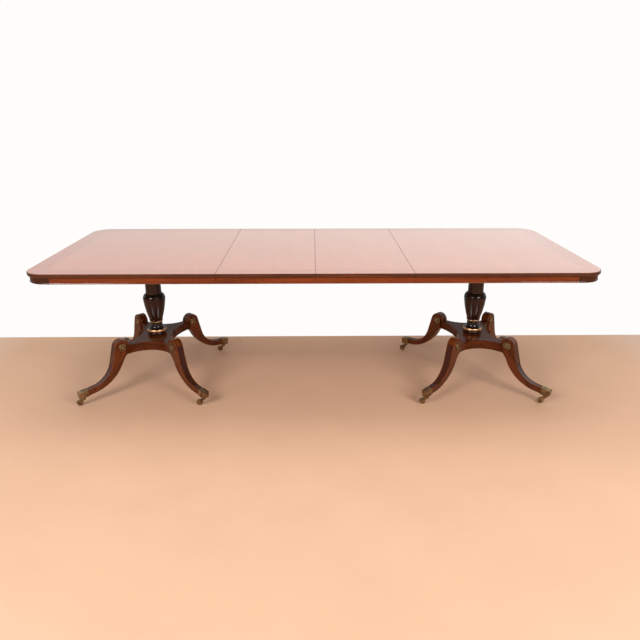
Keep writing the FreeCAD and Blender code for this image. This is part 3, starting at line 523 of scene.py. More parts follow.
def board_finish(colours, trim):
    """Figured field with grain across the table, a crossbanded border and a thin inlaid line."""
    finish = Finish("polished_board")
    high = CAD_BOX[1]
    x, y, z = finish.parts(finish.place())
    past_x = finish.minus(finish.size(x), high.x - trim.corner)
    past_y = finish.minus(finish.size(y), high.y - trim.corner)
    outside = finish.far(finish.larger(past_x, 0.0), finish.larger(past_y, 0.0))
    inside = finish.math("MINIMUM", finish.larger(past_x, past_y), 0.0)
    edge = finish.minus(finish.plus(outside, inside), trim.corner)
    banded = finish.span(edge, -trim.band - BAND_BLUR, -trim.band + BAND_BLUR)
    ended = finish.math("GREATER_THAN", past_x, past_y)
    line = finish.math("LESS_THAN", finish.size(finish.plus(edge, trim.band)), trim.line / 2)
    board = 0.0
    for seam in SEAMS:
        board = finish.plus(finish.math("GREATER_THAN", x, seam), board)
    shift = finish.times(board, 3.7)
    across = finish.vector(finish.plus(y, shift), x, shift)
    along = finish.vector(x, finish.plus(y, 5.0), z)
    vector = finish.mix("VECTOR", finish.times(banded, ended), across, along)
    base, pores = wood_grain(finish, vector, colours.top_light, colours.top_dark, 0.6)
    base = finish.blend(finish.times(banded, 0.65), base, (0.82, 0.62, 0.55), "MULTIPLY")
    base = finish.blend(finish.times(line, 0.8), base, colours.inlay)
    film = finish.noise(finish.place(), (9, 9, 9), 4.0)
    finish.surface(Base_Color=base, Roughness=finish.span(film, 0.3, 0.7, 0.14, 0.20),
                   Normal=finish.sunk(pores, 0.03, 0.0002),
                   Coat_Weight=0.94, Coat_Roughness=0.045)
    return finish.material


def raw_wood(name, light, dark, turn):
    """Unpolished wood of hidden faces, slides and blocks."""
    finish = Finish(name)
    vector = finish.mapped(finish.place(), turn)
    base, pores = wood_grain(finish, vector, light, dark, 2.0)
    finish.surface(Base_Color=base, Roughness=finish.span(pores, 0.0, 1.0, 0.55, 0.75),
                   Normal=finish.sunk(pores, 0.25, 0.0004))
    return finish.material


def seam_shadow(colours):
    """Painted shade where two boards meet: a dark, dull finish for the seam grooves and for the ends
    of boards and rails at the seams.
    """
    finish = Finish("seam_shadow")
    shade_cloud = finish.noise(finish.place(), (90, 90, 90), 3.0)
    dark = colours.corner_dark
    finish.surface(Base_Color=finish.ramp(shade_cloud, ((0.3, toned(dark, 0.35)), (0.8, dark))),
                   Roughness=finish.span(shade_cloud, 0.3, 0.7, 0.6, 0.8), Specular_IOR_Level=0.1)
    return finish.material


def black_lacquer(colours):
    """Ebonised bands with a few rubbed specks."""
    finish = Finish("ebonised_band")
    speck = finish.noise(finish.place(), (140, 140, 300), 3.0)
    specks = finish.span(speck, 0.60, 0.72, 0.0, 0.5)
    finish.surface(Base_Color=finish.blend(specks, colours.ebony, toned(colours.urn_light, 0.6)),
                   Roughness=finish.span(speck, 0.3, 0.7, 0.05, 0.10), Specular_IOR_Level=0.45)
    return finish.material


def metal(name, bright, film, gloss, cover):
    """Rubbed metal with a brown film that thins out on worn edges."""
    finish = Finish(name)
    cloud = finish.noise(finish.place(), (45, 45, 45), 5.0, 0.4)
    grit = finish.noise(finish.place(), (420, 420, 420), 3.0)
    worn = finish.times(finish.attribute("wear", "Fac"), 0.6)
    hidden = finish.plus(finish.span(cloud, 0.34, 0.64, 0.0, cover),
                         finish.span(grit, 0.55, 0.75, 0.0, 0.25))
    hidden = finish.larger(finish.minus(hidden, worn), 0.0)
    finish.surface(Base_Color=finish.blend(hidden, bright, film), Metallic=1.0,
                   Roughness=finish.span(hidden, 0.0, 1.0, gloss, gloss + 0.30),
                   Normal=finish.bump(grit, 0.12, 0.0004))
    return finish.material


# Mesh building
def arc(centre, start, end, steps, clockwise):
    """Points from start to end round a centre, both ends included."""
    first = math.atan2(start.y - centre.y, start.x - centre.x)
    last = math.atan2(end.y - centre.y, end.x - centre.x)
    sweep = (last - first) % (2 * math.pi)
    if clockwise:
        sweep -= 2 * math.pi
    radius = (start - centre).length
    angles = [first + sweep * step / steps for step in range(steps + 1)]
    return [centre + Vector((math.cos(a), math.sin(a))) * radius for a in angles]


def bulge(start, end, rise, steps):
    """Points of a shallow arc between two points, bowed to the right of the way by a rise."""
    chord = end - start
    across = Vector((chord.y, -chord.x)).normalized()
    if abs(rise) < SAME_POINT:
        return [start, end]
    radius = (chord.length ** 2 / 4 + rise ** 2) / (2 * rise)
    centre = (start + end) / 2 + across * (rise - radius)
    return arc(centre, start, end, steps, rise < 0)


def merged_copy(node, flat=None):
    """Copy of a frame node's mesh with its loose triangles joined, also into flat faces."""
    shape = bmesh.new()
    shape.from_mesh(NODES[node].data)
    bmesh.ops.remove_doubles(shape, verts=shape.verts, dist=SAME_POINT)
    if flat:
        bmesh.ops.dissolve_limit(shape, angle_limit=math.radians(flat),
                                 verts=shape.verts[:], edges=shape.edges[:])
    return shape


def sharp_edges(shape, angle):
    return [edge for edge in shape.edges
            if len(edge.link_faces) == 2 and edge.calc_face_angle(0.0) > math.radians(angle)]


def soften(shape, edges, width, segments=3, clamp=True):
    """Round edges over, and mark the new faces as worn."""
    worn = shape.faces.layers.float.get("wear") or shape.faces.layers.float.new("wear")
    result = bmesh.ops.bevel(shape, geom=edges, offset=width, offset_type="OFFSET",
                             segments=segments, profile=0.5, affect="EDGES", clamp_overlap=clamp)
    for face in result["faces"]:
        face[worn] = 1.0
    return result["faces"]


def close_seams(shape):
    """Bring the ends of boards and rails almost up to the seams between the boards."""
    for vert in shape.verts:
        for seam in SEAMS:
            if abs(vert.co.x - seam) < SEAM_GAP:
                vert.co.x = seam + SEAM_OPEN * (vert.co.x - seam)


def at_seam(part):
    """Whether an edge or a face lies at a seam between two boards."""
    return any(abs(vert.co.x - seam) < SEAM_ZONE for seam in SEAMS for vert in part.verts)


def slice_at(shape, x):
    """Cut faces in two where they cross a plane at x."""
    parts = shape.verts[:] + shape.edges[:] + shape.faces[:]
    bmesh.ops.bisect_plane(shape, geom=parts, plane_co=(x, 0.0, 0.0), plane_no=(1.0, 0.0, 0.0))


def set_grain(mesh, rule):
    """Store where each point lies in the wood, with x along the grain."""
    layer = mesh.attributes.new("grain", "FLOAT_VECTOR", "POINT")
    layer.data.foreach_set("vector", [part for v in mesh.vertices for part in rule(v.co)])


def mesh_of(shape, name):
    """Plain mesh of a shape, which is used up."""
    mesh = bpy.data.meshes.new(name)
    shape.normal_update()
    shape.to_mesh(mesh)
    shape.free()
    return mesh


def shown(name, data):
    """New object of the scene, at the origin."""
    item = bpy.data.objects.new(name, data)
    bpy.context.scene.collection.objects.link(item)
    return item


def finished(mesh, materials, body, sharp=35.0):
    """Shaded object for a mesh in its place, which rides on a body."""
    for material in materials:
        mesh.materials.append(material)
    mesh.shade_smooth()
    mesh.set_sharp_from_angle(angle=math.radians(sharp))
    item = shown(mesh.name, mesh)
    item.modifiers.new("weighted_normals", "WEIGHTED_NORMAL").keep_sharp = True
    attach(item, body)
    return item


def stand_in(mesh, materials, node, sharp=35.0):
    """Finished piece that takes the place of a frame node."""
    item = finished(mesh, materials, NODES[node]["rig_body"], sharp)
    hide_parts(node)


def eased_copy(node, ending, material, arris, flat=1.0, sharp=35.0):
    """Stand-in for a frame node with its edges eased."""
    shape = merged_copy(node, flat)
    soften(shape, sharp_edges(shape, 40), arris, 2)
    stand_in(mesh_of(shape, node + ending), [material], node, sharp)


def axis_of(side):
    """Place of a pedestal's axis along the table."""
    low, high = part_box(side + "_column")
    return (low.x + high.x) / 2


def leg_matrix(side, leg, size):
    """Place of a leg drawn with x outwards and z up from the floor under its scroll."""
    x_sign, y_sign = LEGS[leg]
    turn = math.atan2(y_sign, x_sign)
    x = axis_of(side) + x_sign * size.scroll_out
    spot = Vector((x, y_sign * size.scroll_aside, 0.0))
    return Matrix.Translation(spot) @ Matrix.Rotation(turn, 4, "Z")


class TablePiece:
    """Settings and finishes that the operators of this panel share."""
    bl_options = {"REGISTER", "UNDO"}

    @property
    def colours(self):
        return bpy.context.scene.table_colours

    @property
    def trim(self):
        return bpy.context.scene.table_trim

    # Material of painted shade for the seams between boards.
    def seam(self):
        return made_once("seam_shadow", lambda: seam_shadow(self.colours))

    def raw(self, name, turn):
        c = self.colours
        return made_once(name, lambda: raw_wood(name, c.slide_light, c.slide_dark, turn))

    def brass(self):
        c = self.colours
        return made_once("aged_brass", lambda: metal("aged_brass", c.brass, c.patina, 0.24, 0.78))

    def steel(self):
        bright = self.colours.steel
        film = toned(bright, 0.35)
        return made_once("plain_steel", lambda: metal("plain_steel", bright, film, 0.32, 0.55))


# Boards and apron
class TABLE_OT_boards(TablePiece, bpy.types.Operator):
    """Polish the two end boards and the two leaves, and leave their undersides bare"""
    bl_idname = "table.boards"
    bl_label = "Boards"

    TOP, EDGE, UNDER, SEAM = range(4)

    def execute(self, context):
        c = self.colours
        materials = [
            board_finish(c, self.trim),
            mahogany("edge_moulding", c.corner_light, c.corner_dark, ALONG, shine=0.25),
            self.raw("bare_underside", ACROSS),
            self.seam(),
        ]
        for node in BOARDS:
            shape = merged_copy(node, 0.3)
            close_seams(shape)
            rim = [edge for edge in sharp_edges(shape, 60) if at_seam(edge)
                   and abs(edge.verts[0].co.x - edge.verts[1].co.x) < SAME_POINT]
            groove = set(soften(shape, rim, self.trim.seam, 2, clamp=False))
            shape.normal_update()
            for face in shape.faces:
                face.material_index = self.zone(face, groove)
            stand_in(mesh_of(shape, node + "_board"), materials, node)
        return {"FINISHED"}

    def zone(self, face, groove):
        """Which of the board's finishes a face takes."""
        # Seam grooves and board ends at a seam take the painted seam shade.
        if face in groove or abs(face.normal.x) > 0.999 and at_seam(face):
            return self.SEAM
        if face.normal.z > 0.95:
            return self.TOP
        return self.UNDER if face.normal.z < -0.99 else self.EDGE


class TABLE_OT_apron(TablePiece, bpy.types.Operator):
    """Finish the rails, the corner blocks and the bead under them"""
    bl_idname = "table.apron"
    bl_label = "Apron and bead"

    def execute(self, context):
        c = self.colours
        rail = c.apron_light, c.apron_dark
        # Corner blocks take darker tones of the corner colours: partly end grain, partly painted
        # shade where the corners turn away from the front lamps.
        corner = toned(c.corner_light, 0.6), toned(c.corner_dark, 0.6)
        along = mahogany("rail_along", *rail, ALONG)
        across = mahogany("rail_across", *rail, ACROSS)
        upright = mahogany("corner_block", *corner, UPRIGHT)
        beads = [mahogany("bead_moulding", *rail, ALONG, gloss=0.18, shine=0.5, coat=0.5),
                 mahogany("corner_bead", *corner, ALONG, gloss=0.18, shine=0.3, coat=0.3)]
        for side, sign in SIDES.items():
            low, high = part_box(side + "_corner_blocks")
            # The darker corner finish laps on to the long rails; its darkness is partly end grain,
            # partly painted shade.
            lap = min(abs(low.x), abs(high.x)) - self.trim.corner_lap
            for face in ("front", "back"):
                node = "%s_%s_rail" % (side, face)
                self.eased(node, along, "apron_mahogany", sign * lap, upright)
            self.eased(side + "_leaf_rails", along, "apron_mahogany")
            self.eased(side + "_end_rail", across, "apron_mahogany")
            self.eased(side + "_corner_blocks", upright, "corner_mahogany")
            corner_from = high.y - (high.x - low.x)
            for node in (side + "_bead", side + "_leaf_beads"):
                shape = merged_copy(node)
                close_seams(shape)
                slice_at(shape, sign * lap)
                # Bead faces at the corners take the darker corner finish: partly end grain, partly
                # painted shade.
                for face in shape.faces:
                    centre = face.calc_center_median()
                    if abs(centre.x) > lap and abs(centre.y) > corner_from:
                        face.material_index = 1
                stand_in(mesh_of(shape, node + "_moulding"), beads, node)
        return {"FINISHED"}

    def eased(self, node, material, slot, lap=None, veneer=None):
        """Rail or block with eased edges, and a darker veneer beyond the lap where one is given, its
        darkness partly end grain and partly painted shade.
        """
        materials = [material, self.seam()]
        shape = merged_copy(node, 1.0)
        close_seams(shape)
        soften(shape, sharp_edges(shape, 50), self.trim.rail_arris, 2)
        if veneer:
            materials.append(veneer)
            slice_at(shape, lap)
        shape.normal_update()
        for face in shape.faces:
            # Rail ends at a seam take the painted seam shade.
            face.material_index = 1 if abs(face.normal.x) > 0.3 and at_seam(face) else 0
            # Faces beyond the lap take the darker corner finish, partly painted shade.
            if veneer and abs(face.calc_center_median().x) > abs(lap):
                face.material_index = 2
        stand_in(mesh_of(shape, node + "_wood"), materials, node)


# Pedestals
class TABLE_OT_columns(TablePiece, bpy.types.Operator):
    """Turn the two columns with their urns, black bands and gilt rings"""
    bl_idname = "table.columns"
    bl_label = "Turned columns"

    WOOD, BLACK, GILT = range(3)

    def execute(self, context):
        c = self.colours
        size = context.scene.table_column
        materials = [
            mahogany("column_mahogany", c.urn_light, c.urn_dark, gloss=0.13, shine=0.3),
            black_lacquer(c),
            metal("gilt_ring", c.gilt, toned(c.gilt, 0.30), 0.36, 0.20),
        ]
        for side, sign in SIDES.items():
            node = side + "_column"
            low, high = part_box(node)
            shape = self.turning(self.profile(size, high.z - low.z), size.steps)
            mesh = mesh_of(shape, side + "_turned_column")
            set_grain(mesh, lambda p: (p.z + 2.0 * sign, p.x, p.y))
            mesh.transform(Matrix.Translation((axis_of(side), 0.0, low.z)))
            stand_in(mesh, materials, node)
        return {"FINISHED"}

    def profile(self, s, top):
        """Runs of (zone, points) from the foot to the top, as radius and height."""
        wood, black, gilt = self.WOOD, self.BLACK, self.GILT
        quirk = s.quirk
        runs = []

        def run(zone, first, last, rise=0.0, steps=10):
            runs.append((zone, bulge(Vector(first), Vector(last), rise, steps)))

        z = s.base_high
        wide = s.ring_radius
        run(wood, (s.base_radius, 0.0), (wide - 0.001, z - quirk), 0.0022)
        run(wood, (wide - 0.003, z - quirk), (wide - 0.003, z))
        run(gilt, (wide, z), (wide - 0.001, z + s.ring_high), 0.0032, 14)
        z += s.ring_high
        run(black, (s.flare_radius, z), (s.neck_radius, z + s.flare_high), -0.0040, 14)
        z += s.flare_high
        run(black, (s.neck_radius, z), (s.neck_radius, z + s.neck_high))
        z += s.neck_high
        wide = s.thin_ring - 0.0005
        run(gilt, (wide, z), (wide, z + s.thin_high), 0.0016)
        z += s.thin_high
        wide = s.bead_radius
        run(wood, (wide - 0.002, z + quirk), (wide - 0.002, z + s.bead_high - quirk), 0.0024)
        z += s.bead_high
        run(wood, (wide - 0.003, z), (wide - 0.001, z + quirk))
        run(wood, (wide, z + quirk), (s.urn_radius, z + s.urn_high - quirk), 0.0027, 24)
        z += s.urn_high
        wide = s.urn_radius
        run(wood, (wide, z - quirk), (wide - 0.002, z + s.collar_high - quirk), 0.0016, 8)
        z += s.collar_high
        wide = s.shoulder_radius
        thin = s.shaft_radius + 0.003
        run(black, (wide + 0.003, z - quirk), (wide + 0.003, z))
        run(black, (wide + 0.004, z), (thin, z + s.shoulder_high - quirk), 0.0018, 14)
        z += s.shoulder_high
        run(black, (thin, z - quirk), (s.shaft_radius, z))
        capital = top - s.capital_high
        lip = top - s.capital_lip
        run(wood, (s.shaft_radius, z), (s.shaft_top, capital))
        run(wood, (s.shaft_top, capital), (s.capital_radius, lip), -0.0026)
        run(wood, (s.capital_radius, lip), (s.capital_radius, top))
        return runs

    def turning(self, runs, steps):
        """Closed lathe shape of the runs."""
        shape = bmesh.new()
        points = []
        zones = []
        for zone, run in runs:
            for point in run:
                if points and (point - points[-1]).length < SAME_POINT:
                    continue
                if points:
                    zones.append(zone)
                points.append(point)
        turns = [2 * math.pi * step / steps for step in range(steps)]
        rings = [[shape.verts.new((p.x * math.cos(a), p.x * math.sin(a), p.y)) for a in turns]
                 for p in points]
        for zone, lower, upper in zip(zones, rings, rings[1:]):
            for here in range(steps):
                there = (here + 1) % steps
                face = shape.faces.new((lower[here], lower[there], upper[there], upper[here]))
                face.material_index = zone
        shape.faces.new(list(reversed(rings[0])))
        shape.faces.new(rings[-1])
        return shape


class TABLE_OT_platforms(TablePiece, bpy.types.Operator):
    """Finish the two hollow-sided platforms"""
    bl_idname = "table.platforms"
    bl_label = "Platforms"

    def execute(self, context):
        wood = [toned(shade, 0.75) for shade in (self.colours.leg_light, self.colours.leg_dark)]
        polished = mahogany("platform_mahogany", *wood, ALONG, gloss=0.18, shine=0.14)
        for side in SIDES:
            node = side + "_platform"
            shape = merged_copy(node, 0.3)
            levels = [corner.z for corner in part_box(node)]
            rim = [edge for edge in sharp_edges(shape, 60) if any(
                all(abs(vert.co.z - level) < LEVEL for vert in edge.verts) for level in levels)]
            soften(shape, rim, self.trim.platform_arris)
            stand_in(mesh_of(shape, node + "_polished"), [polished], node)
        return {"FINISHED"}


class TABLE_OT_legs(TablePiece, bpy.types.Operator):
    """Shape the eight sabre legs with their scroll heads and sunk panels"""
    bl_idname = "table.legs"
    bl_label = "Sabre legs"

    def execute(self, context):
        c = self.colours
        size = context.scene.table_leg
        materials = [
            mahogany("leg_mahogany_polish", c.leg_light, c.leg_dark, gloss=0.22, shine=0.3),
            mahogany("panel_mahogany", c.panel_light, c.panel_dark, gloss=0.18, shine=0.45),
        ]
        plain = mesh_of(self.blank(size), "sabre_leg")
        shift = 0.0
        for side in SIDES:
            for leg in LEGS:
                shift += 1.3
                node = "%s_%s_leg" % (side, leg)
                mesh = plain.copy()
                mesh.name = node + "_carved"
                set_grain(mesh, lambda p: (0.64 * p.x - 0.77 * p.z + shift,
                                           0.77 * p.x + 0.64 * p.z, p.y))
                mesh.transform(leg_matrix(side, leg, size))
                stand_in(mesh, materials, node)
        bpy.data.meshes.remove(plain)
        return {"FINISHED"}

    def outline(self, s):
        """Side view, clockwise from the foot of the joint, with a mark on the sunk panel."""
        low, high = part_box("left_platform")
        slope = s.toe_slope
        along = Vector((math.cos(slope), -math.sin(slope)))
        down = Vector((-math.sin(slope), -math.cos(slope)))
        scroll = Vector((0.0, high.z))
        sabre = Vector((s.sabre_out, s.sabre_up))
        gap = sabre - scroll
        lean = math.atan2(gap.y, gap.x)
        lean -= math.asin((s.scroll_radius + s.sabre_radius) / gap.length)
        across = Vector((-math.sin(lean), math.cos(lean)))
        sabre_end = sabre + down * s.sabre_radius
        toe_top = sabre_end + along * ((s.toe_reach - sabre_end.x) / along.x)
        toe_low = toe_top + down * s.toe_deep
        inner_end_x = s.inner_out - s.inner_radius * math.sin(slope)
        inner_end = toe_low + along * ((inner_end_x - toe_low.x) / along.x)
        inner = inner_end - down * s.inner_radius
        inner_x = inner.x - math.sqrt(s.inner_radius ** 2 - (s.inner_start - inner.y) ** 2)
        head = arc(scroll, scroll - Vector((s.scroll_radius, 0)),
                   scroll + across * s.scroll_radius, s.steps, True)
        curve = arc(sabre, sabre - across * s.sabre_radius, sabre_end, s.steps, False)
        sole = arc(inner, inner_end, Vector((inner_x, s.inner_start)), s.steps, True)
        wall = (curve[0] - head[-1]).normalized() * s.panel_end
        stop = toe_top - along * (s.cap_long + s.border)
        joint = [Vector((-s.joint_back, low.z)), Vector((-s.joint_back, high.z))]
        panel = [head[-1] + wall] + curve + [stop - along * s.panel_end]
        points = [(p, 0) for p in joint + head] + [(p, 1) for p in panel]
        points += [(p, 0) for p in [stop, toe_top, toe_low] + sole]
        for x in (s.shoulder, s.toe_reach - s.cap_long):
            points = self.with_bend(points, x)
        return points

    def with_bend(self, points, x):
        """Outline with two more points, where the cheeks bend."""
        result = []
        for (here, sunk), (there, next_sunk) in zip(points, points[1:] + points[:1]):
            result.append((here, sunk))
            share = (x - here.x) / (there.x - here.x) if there.x != here.x else -1.0
            if 1e-4 < share < 1 - 1e-4:
                result.append((here.lerp(there, share), min(sunk, next_sunk)))
        return result

    def half_width(self, s, x):
        taper = (x - s.shoulder) / (s.toe_reach - s.cap_long - s.shoulder)
        return s.wide / 2 + (s.toe_wide - s.wide) / 2 * min(max(taper, 0.0), 1.0)

    def section(self, s, sunk):
        """Steps from a cheek to the middle of a face, as depth and distance from the cheek."""
        turns = [math.radians(30 * step) for step in range(4)]
        rounding = [(s.arris * (1 - math.sin(t)), s.arris * (1 - math.cos(t))) for t in turns]
        return rounding + [(0.0, s.border), (sunk * s.sunk, s.border + s.panel_wall)]

    def blank(self, s):
        """Leg with tapered cheeks, a sunk panel on its upper face and rounded edges."""
        points = self.outline(s)
        count = len(points)
        shape = bmesh.new()
        worn = shape.faces.layers.float.new("wear")
        rings = []
        for place, (point, sunk) in enumerate(points):
            way = (points[(place + 1) % count][0] - points[place - 1][0]).normalized()
            inward = Vector((way.y, -way.x))
            half = []
            for deep, aside in self.section(s, sunk):
                spot = point + inward * deep
                half.append((spot.x, self.half_width(s, spot.x) - aside, spot.y))
            ring = [shape.verts.new((x, -y, z)) for x, y, z in half]
            rings.append(ring + [shape.verts.new(corner) for corner in reversed(half)])
        steps = len(rings[0]) - 1
        for here in range(count):
            there = (here + 1) % count
            for step in range(steps):
                face = shape.faces.new((rings[here][step], rings[there][step],
                                        rings[there][step + 1], rings[here][step + 1]))
                face[worn] = 1.0 if min(step, steps - 1 - step) < 3 else 0.0
                sunk = points[here][1] and points[there][1] and step == steps // 2
                face.material_index = 1 if sunk else 0
        for places in self.cheeks(s, points):
            shape.faces.new([rings[place][0] for place in places])
            shape.faces.new([rings[place][-1] for place in reversed(places)])
        bmesh.ops.recalc_face_normals(shape, faces=shape.faces[:])
        return shape

    def cheeks(self, s, points):
        """Places on the outline of the three flat parts of a cheek: head, taper and toe."""
        ends = (s.shoulder, s.toe_reach - s.cap_long)
        bends = [place for place, (point, _) in enumerate(points)
                 if min(abs(point.x - end) for end in ends) < SAME_POINT]
        if len(bends) != 4:
            raise RuntimeError("the cheeks of the leg need four bends")
        shoulder_top, toe_top, toe_low, shoulder_low = bends
        head = [*range(shoulder_low, len(points)), *range(shoulder_top + 1)]
        taper = [*range(shoulder_top, toe_top + 1), *range(toe_low, shoulder_low + 1)]
        return head, taper, [*range(toe_top, toe_low + 1)]


class TABLE_OT_rosettes(TablePiece, bpy.types.Operator):
    """Set a petalled brass rosette on both cheeks of every scroll head"""
    bl_idname = "table.rosettes"
    bl_label = "Rosettes"

    def execute(self, context):
        trim = self.trim
        size = context.scene.table_leg
        tree = self.rosette_tree(self.brass())
        values = {"Radius": trim.rosette_radius, "Height": trim.rosette_high, "Petals": trim.petals}
        for side in SIDES:
            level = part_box(side + "_platform")[1].z
            spots, facings = [], []
            for leg in LEGS:
                place = leg_matrix(side, leg, size)
                for cheek in (-1, 1):
                    spots.append(place @ Vector((0.0, cheek * size.wide / 2, level)))
                    facings.append(place.to_3x3() @ Vector((0.0, cheek, 0.0)))
            mesh = scattered(tree, side + "_rosette_set", spots, facings, values)
            stand_in(mesh, [self.brass()], side + "_rosettes", 50.0)
        return {"FINISHED"}

    def rosette_tree(self, material):
        """Backing plate, rim, ring of petals and button, set on every point along its facing."""
        tree = NodeTree("rosette_tree", Radius="Float", Height="Float", Petals="Int")
        radius, high, petals = (tree.given(name) for name in tree.sockets)

        def box(out, aside, up):
            return tree.vector(tree.times(radius, out), tree.times(radius, aside),
                               tree.times(high, up))

        thin = tree.times(high, 0.34)
        lift = tree.upright(tree.times(high, 0.42))
        plate = tree.moved(tree.disc(48, radius, thin), tree.upright(tree.times(thin, 0.5)))
        rim = tree.add("GeometryNodeCurveToMesh", {
            "Curve": tree.ring(48, tree.times(radius, 0.87)),
            "Profile Curve": tree.ring(10, tree.times(radius, 0.13))}).outputs[0]
        rim = tree.moved(rim, lift, scale=(1, 1, 0.8))
        petal = tree.ball(12, 8, box(0.27, 0.19, 0.40))
        outwards = tree.add("GeometryNodeInputPosition").outputs[0]
        flower = tree.scatter(tree.ring(petals, tree.times(radius, 0.52)), petal,
                              tree.aligned("X", outwards))
        flower = tree.moved(flower, lift)
        button = tree.ball(20, 12, box(0.26, 0.26, 0.55), tree.upright(tree.times(high, 0.45)))
        whole = tree.joined(tree.rubbed(plate, -1.2), tree.rubbed(rim, -0.2),
                            tree.rubbed(flower, 0.8), tree.rubbed(button, 0.7))
        return tree.done(tree.scatter(tree.given("Geometry"), whole, tree.facing()), material)


class TABLE_OT_toe_caps(TablePiece, bpy.types.Operator):
    """Finish the eight square brass toe caps"""
    bl_idname = "table.toe_caps"
    bl_label = "Toe caps"

    def execute(self, context):
        arris = 1.6 * self.trim.brass_arris
        for side in SIDES:
            eased_copy(side + "_toe_caps", "_metal", self.brass(), arris, 0.5, 50.0)
        return {"FINISHED"}


class TABLE_OT_casters(TablePiece, bpy.types.Operator):
    """Finish the eight brass casters"""
    bl_idname = "table.casters"
    bl_label = "Casters"

    def execute(self, context):
        arris = 0.5 * self.trim.brass_arris
        for side in SIDES:
            for leg in LEGS:
                for part in ("fork", "wheel"):
                    node = "%s_%s_%s" % (side, leg, part)
                    eased_copy(node, "_metal", self.brass(), arris, 0.5, 50.0)
        return {"FINISHED"}


# Underside
class TABLE_OT_underside(TablePiece, bpy.types.Operator):
    """Finish the slides, the pedestal blocks and the tie bolts"""
    bl_idname = "table.underside"
    bl_label = "Slides, blocks and bolts"

    def execute(self, context):
        arris = self.trim.wood_arris
        slide = self.raw("waxed_slide", ALONG)
        block = self.raw("block_wood", ACROSS)
        for part in ("left", "centre", "right"):
            for face in ("front", "back"):
                eased_copy("%s_%s_slide" % (part, face), "_wood", slide, arris)
        for side in SIDES:
            eased_copy(side + "_top_block", "_wood", block, arris)
            slots = NODES[side + "_tie_bolt"].data.materials
            slots.clear()
            slots.append(self.steel())
        return {"FINISHED"}


class TABLE_OT_screws(TablePiece, bpy.types.Operator):
    """Drive slotted screws through the pedestal blocks and the outer slides into the boards"""
    bl_idname = "table.screws"
    bl_label = "Screws"

    BLOCK_INSET = 0.034
    SLIDE_INSET = 0.04
    PER_SLIDE = 4

    def execute(self, context):
        trim = self.trim
        tree = self.screw_tree(self.steel())
        values = {"Radius": trim.screw_radius, "Height": trim.screw_high, "Slot": trim.screw_slot}
        for side, sign in SIDES.items():
            spots = self.block_spots(side) + self.slide_spots(side, sign)
            down = [(0.0, 0.0, -1.0)] * len(spots)
            mesh = scattered(tree, side + "_slotted_screws", spots, down, values)
            finished(mesh, [self.steel()], side + "_half", 40.0)
        return {"FINISHED"}

    def block_spots(self, side):
        """Corners and middles of the sides of a pedestal block."""
        low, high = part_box(side + "_top_block")
        middle = (low + high) / 2
        reach = (high - low) / 2 - Vector((self.BLOCK_INSET, self.BLOCK_INSET, 0.0))
        return [Vector((middle.x + a * reach.x, middle.y + b * reach.y, low.z))
                for a in (-1, 0, 1) for b in (-1, 0, 1) if a or b]

    def slide_spots(self, side, sign):
        """Even row along the part of each slide that lies under the end board."""
        spots = []
        start = abs(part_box(side + "_top")[0 if sign > 0 else 1].x) + self.SLIDE_INSET
        for face in ("front", "back"):
            low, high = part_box("%s_%s_slide" % (side, face))
            end = max(abs(low.x), abs(high.x)) - self.SLIDE_INSET
            for step in range(self.PER_SLIDE):
                x = sign * (start + (end - start) * step / (self.PER_SLIDE - 1))
                spots.append(Vector((x, (low.y + high.y) / 2, low.z)))
        return spots

    def screw_tree(self, material):
        """Screw head of two half discs on a floor, turned at random about its axis."""
        tree = NodeTree("screw_tree", Radius="Float", Height="Float", Slot="Float")
        radius, high, slot = (tree.given(name) for name in tree.sockets)
        start = tree.math("ARCSINE", tree.math("DIVIDE", tree.times(slot, 0.5), radius))
        sweep = tree.minus(math.pi, tree.times(start, 2.0))
        bow = tree.add("GeometryNodeCurveArc", {
            "Resolution": 14, "Radius": radius, "Start Angle": start,
            "Sweep Angle": sweep}).outputs[0]
        bow = tree.add("GeometryNodeSetSplineCyclic", {"Geometry": bow, "Cyclic": True}).outputs[0]
        face = tree.add("GeometryNodeFillCurve", {"Curve": bow}, mode="NGONS").outputs[0]
        raised = tree.add("GeometryNodeExtrudeMesh", {
            "Mesh": face, "Offset Scale": high}).outputs[0]
        under = tree.add("GeometryNodeFlipFaces", {"Mesh": face}).outputs[0]
        half = tree.add("GeometryNodeMergeByDistance", {
            "Geometry": tree.joined(raised, under), "Distance": SAME_POINT}).outputs[0]
        other = tree.moved(half, turn=(0.0, 0.0, math.pi))
        head = tree.joined(half, other, tree.disc(28, radius, tree.times(high, 0.25)))
        spin = tree.add("FunctionNodeRandomValue", {"Seed": 7, 3: math.pi}, data_type="FLOAT")
        turn = tree.add("FunctionNodeRotateRotation", {
            "Rotation": tree.facing(), "Rotate By": tree.upright(spin.outputs[1])},
            rotation_space="LOCAL").outputs[0]
        return tree.done(tree.scatter(tree.given("Geometry"), head, turn), material)


